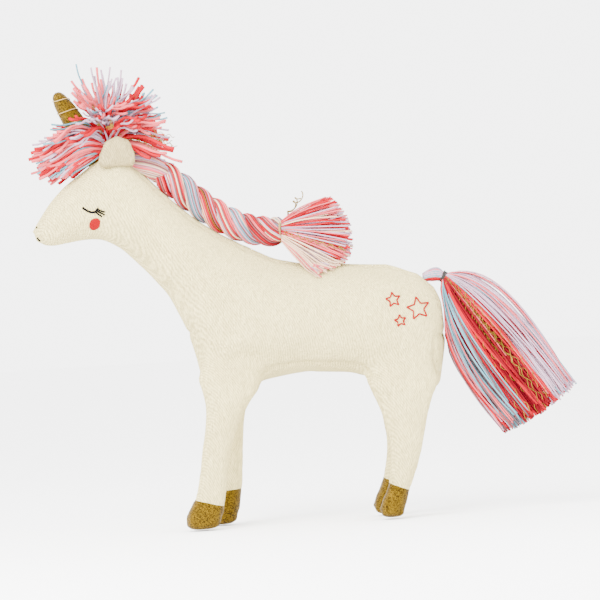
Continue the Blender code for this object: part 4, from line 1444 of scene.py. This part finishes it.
def makeEar(side):
    nodeNames = (side + "_ear_front", side + "_ear_back")
    skin = swollenCopy(side + "EarSkin", nodeNames, ear["grow"])
    voxelRemesh(skin, ear["voxel"])
    mesh = skin.data
    setCoordinates(mesh, smoothPoints(mesh, coordinates(mesh), ear["rounds"]))
    seam = jointPoint(side + "_ear_flop")
    axis = Vector(joints[side + "_ear_flop"]["axis"]).normalized()
    thick = axis.cross(upward).normalized()
    points = coordinates(mesh)
    along = np.array(upward.cross(thick).normalized())
    heights = (points[:, 2] - points[:, 2].min()) / np.ptp(points[:, 2])
    widths = (points - np.array(seam)) @ along
    factor = np.interp(heights, ear["heights"], ear["widths"]) - 1
    points = points + along[None, :] * (widths * factor)[:, None]
    points[:, 2] -= ear["lower"]
    setCoordinates(mesh, points)
    normals = vertexNormals(mesh)
    middle = (points - np.array(seam)) @ np.array(thick)
    fall = np.exp(-((middle - np.median(middle)) / ear["seamWidth"]) ** 2)
    edge = np.clip(1 - np.abs(normals @ np.array(thick)), 0, 1)
    setCoordinates(mesh, points - normals * (fall * edge * ear["seamDepth"])[:, None])
    subdivideOnce(skin)
    # the ear takes the darker crepe, painted shade under the forelock
    skin.data.materials.clear()
    skin.data.materials.append(finishes["earShadedCream"])
    skin.data.shade_smooth()
    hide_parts(*nodeNames)
    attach(skin, side + "_ear")
    print(side, "ear", len(skin.data.vertices), "points")


horn = {
    "rings": 64,
    "around": 48,
    "profile": ((0.0, 0.0088), (0.565, 0.0083), (0.72, 0.0075), (0.826, 0.0066), (0.913, 0.0053),
                (0.9565, 0.0041), (0.983, 0.0027), (1.0, 0.0)),
    "threadFromTip": 0.0046,
    "pitch": 0.0103,
    "windings": 3.6,
    "threadSteps": 110,
    "threadRadius": 0.00045,
    "press": 0.0006,
    "pressWidth": 0.0011,
    "pressTop": 0.93,
    "sunk": 0.10,
    "lump": 0.03,
    "lumpScale": 160,
}


def makeHorn():
    base, tip = hornLine
    run = tip - base
    length = run.length
    axis = run.normalized()
    right = Vector((axis.z, 0, -axis.x))
    shares = [p[0] for p in horn["profile"]]
    sizes = [p[1] for p in horn["profile"]]

    def radiusAt(share):
        return float(np.interp(share, shares, sizes))

    def turnAt(drop):
        return 2 * math.pi * (drop - horn["threadFromTip"]) / horn["pitch"] + math.pi

    bm = bmesh.new()
    rows = []
    for i in range(horn["rings"]):
        rise = i / (horn["rings"] - 1)
        share = (1 + horn["sunk"]) * (1 - (1 - rise) ** 1.5) - horn["sunk"]
        row = []
        for j in range(horn["around"]):
            angle = 2 * math.pi * j / horn["around"]
            drop = length * (1 - share)
            offset = (angle - turnAt(drop)) / (2 * math.pi)
            gap = abs(offset - round(offset)) * horn["pitch"]
            press = horn["press"] * math.exp(-(gap / horn["pressWidth"]) ** 2)
            if share >= horn["pressTop"]:
                press = 0
            spot = base + axis * length * share
            size = max(0.0, radiusAt(max(0.0, share)) - press)
            size *= 1 + horn["lump"] * noise.noise(spot * horn["lumpScale"] + Vector((angle, 0, 0)))
            row.append(bm.verts.new(spot + spoke(right, across, angle, size)))
        rows.append(row)
    for i in range(horn["rings"] - 1):
        for j in range(horn["around"]):
            k = (j + 1) % horn["around"]
            bm.faces.new((rows[i][j], rows[i][k], rows[i + 1][k], rows[i + 1][j]))
    bmesh.ops.remove_doubles(bm, verts=bm.verts, dist=0.00004)
    bmesh.ops.recalc_face_normals(bm, faces=bm.faces)
    mesh = bpy.data.meshes.new("hornSkin")
    bm.to_mesh(mesh)
    bm.free()
    mesh.shade_smooth()
    skin = addObject("hornSkin", mesh, "gold")
    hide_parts("horn_cover", "horn_fill")
    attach(skin, "horn")
    line = []
    for i in range(horn["threadSteps"] + 1):
        drop = horn["threadFromTip"] + horn["pitch"] * horn["windings"] * i / horn["threadSteps"]
        share = 1 - drop / length
        size = radiusAt(share) + horn["threadRadius"] * 0.2
        line.append(base + axis * length * share + spoke(right, across, turnAt(drop), size))
    thread = makeTubes("hornThreadWound", [line], [horn["threadRadius"]], "paleThread")
    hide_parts("horn_thread")
    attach(thread, "horn")
    print("horn length", round(length, 4))


# the embroidery

stitching = {
    "eyeThread": 0.00088,
    "lashThread": 0.00064,
    "mouthThread": 0.00075,
    "mouthInset": 0.0004,
    "nostrilDrop": 0.0003,
    "starThread": 0.00062,
    "starStitch": 0.0021,
    "starWaist": 0.47,
    "starTilt": 8,
    "starInset": 0.0005,
    "fillThread": 0.00034,
    "fillGap": 0.00052,
    "cheekSlant": (0.35, 0.14),
    "lift": 0.00015,
    "faceShift": 0.0020,
}
# shares of the eye's box, across and up
eyeLid = ((0.03, 0.90), (0.16, 0.70), (0.29, 0.53), (0.42, 0.45), (0.55, 0.47), (0.64, 0.60), (0.71, 0.78))
eyeLashes = (((0.70, 0.64), (0.98, 0.40)), ((0.66, 0.52), (0.96, 0.17)), ((0.58, 0.44), (0.84, 0.03)))


def onSkin(x, z, sign, lift):
    spot, normal, _, _ = skinTree.ray_cast(Vector((x, sign * 0.08, z)), Vector((0, -sign, 0)))
    if spot is None:
        spot, normal, _, _ = skinTree.find_nearest(Vector((x, sign * 0.01, z)))
    return spot + normal * lift


def stitchLine(corners, sign, radius, count=14):
    # a thread laid on the cloth through side-view corners
    reach = [0.0]
    for one, other in zip(corners, corners[1:]):
        reach.append(reach[-1] + math.dist(one, other))
    line = []
    for i in range(count):
        want = reach[-1] * i / (count - 1)
        x, z = [float(np.interp(want, reach, [corner[k] for corner in corners])) for k in (0, 1)]
        line.append(onSkin(x, z, sign, stitching["lift"] + radius * 0.25))
    return line, radius


def stitchPiece(name, strands, colour, nodeName):
    lines = [line for line, radius in strands]
    radii = [radius for line, radius in strands]
    piece = makeTubes(name, lines, radii, colour, endTaper=0.75)
    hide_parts(nodeName)
    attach(piece, "torso")


def boxPoint(nodeName, share):
    low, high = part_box(nodeName)
    x = low.x + (high.x - low.x) * share[0] + stitching["faceShift"]
    return x, low.z + (high.z - low.z) * share[1]


def makeEye(side, sign):
    node = side + "_eye"
    strands = [stitchLine([boxPoint(node, share) for share in eyeLid], sign, stitching["eyeThread"])]
    for lash in eyeLashes:
        strands.append(stitchLine([boxPoint(node, share) for share in lash], sign, stitching["lashThread"]))
    stitchPiece(node + "_thread", strands, "blackThread", node)


def makeCheek(side, sign):
    # a round patch filled with slanting stitches
    node = side + "_cheek"
    low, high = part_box(node)
    middle = (low + high) / 2
    x = middle.x + stitching["faceShift"]
    radius = (high.z - low.z) / 2
    below, above = stitching["cheekSlant"]
    strands = []
    for i in range(int(radius * 2 / stitching["fillGap"])):
        offset = -radius + stitching["fillGap"] * (i + 0.5)
        half = math.sqrt(max(0.0, radius ** 2 - offset ** 2))
        first = (x + offset - half * below, middle.z - half)
        last = (x + offset + half * above, middle.z + half)
        strands.append(stitchLine([first, last], sign, stitching["fillThread"]))
    stitchPiece(node + "_thread", strands, "coralThread", node)


def makeNose(side, sign):
    inset = stitching["mouthInset"]
    for label in ("_nostril", "_mouth"):
        node = side + label
        low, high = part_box(node)
        if label == "_mouth":
            heights = (high.z - inset, low.z + inset)
        else:
            middle = (low.z + high.z) / 2
            heights = (middle, middle - stitching["nostrilDrop"])
        corners = [(low.x + inset, heights[0]), (high.x - inset, heights[1])]
        strand = stitchLine(corners, sign, stitching["mouthThread"], 8)
        stitchPiece(node + "_thread", [strand], "blackThread", node)


def makeStar(name):
    # ten straight edges, each of a few short stitches
    low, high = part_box(name)
    inset = stitching["starInset"]
    sign = -1 if (low.y + high.y) < 0 else 1
    radius = (high.x - low.x) / 2 / math.cos(math.radians(18)) - inset
    x = (low.x + high.x) / 2
    z = high.z - radius - inset
    corners = []
    for i in range(10):
        angle = math.pi / 2 + math.radians(stitching["starTilt"]) + math.pi * i / 5
        reach = radius if i % 2 == 0 else radius * stitching["starWaist"]
        corners.append((x + reach * math.cos(angle), z + reach * math.sin(angle)))
    strands = []
    for a, b in zip(corners, corners[1:] + corners[:1]):
        stitches = max(2, round(math.dist(a, b) / stitching["starStitch"]))
        for number in range(stitches):
            ends = []
            for share in ((number + 0.02) / stitches, (number + 0.99) / stitches):
                ends.append((a[0] + (b[0] - a[0]) * share, a[1] + (b[1] - a[1]) * share))
            strands.append(stitchLine(ends, sign, stitching["starThread"], 6))
    stitchPiece(name + "_thread", strands, "coralThread", name)


makeCamera()
makeStudio()
bodySkin = makeBodySkin()
skins, wholeSkin = splitSkin(bodySkin)
bpy.data.objects.remove(bodySkin)
placeSkins(skins)
skinTree = BVHTree.FromPolygons([v.co for v in wholeSkin.vertices],
                                [p.vertices for p in wholeSkin.polygons])
hornLine = hornAxis()
print("skins", len(skins))
for sideName in sideSigns:
    makeEar(sideName)
makeHorn()
for sideName, outside in sideSigns.items():
    makeEye(sideName, outside)
    makeCheek(sideName, outside)
    makeNose(sideName, outside)
print("face stitched")
for starName in ("middle_star", "large_star", "small_star"):
    makeStar(starName)
print("stars stitched")
forelockHub = makeForelock()
plaitLine = makePlait()
makeGather(forelockHub, plaitLine)
makeTassel(plaitLine)
makeTail()
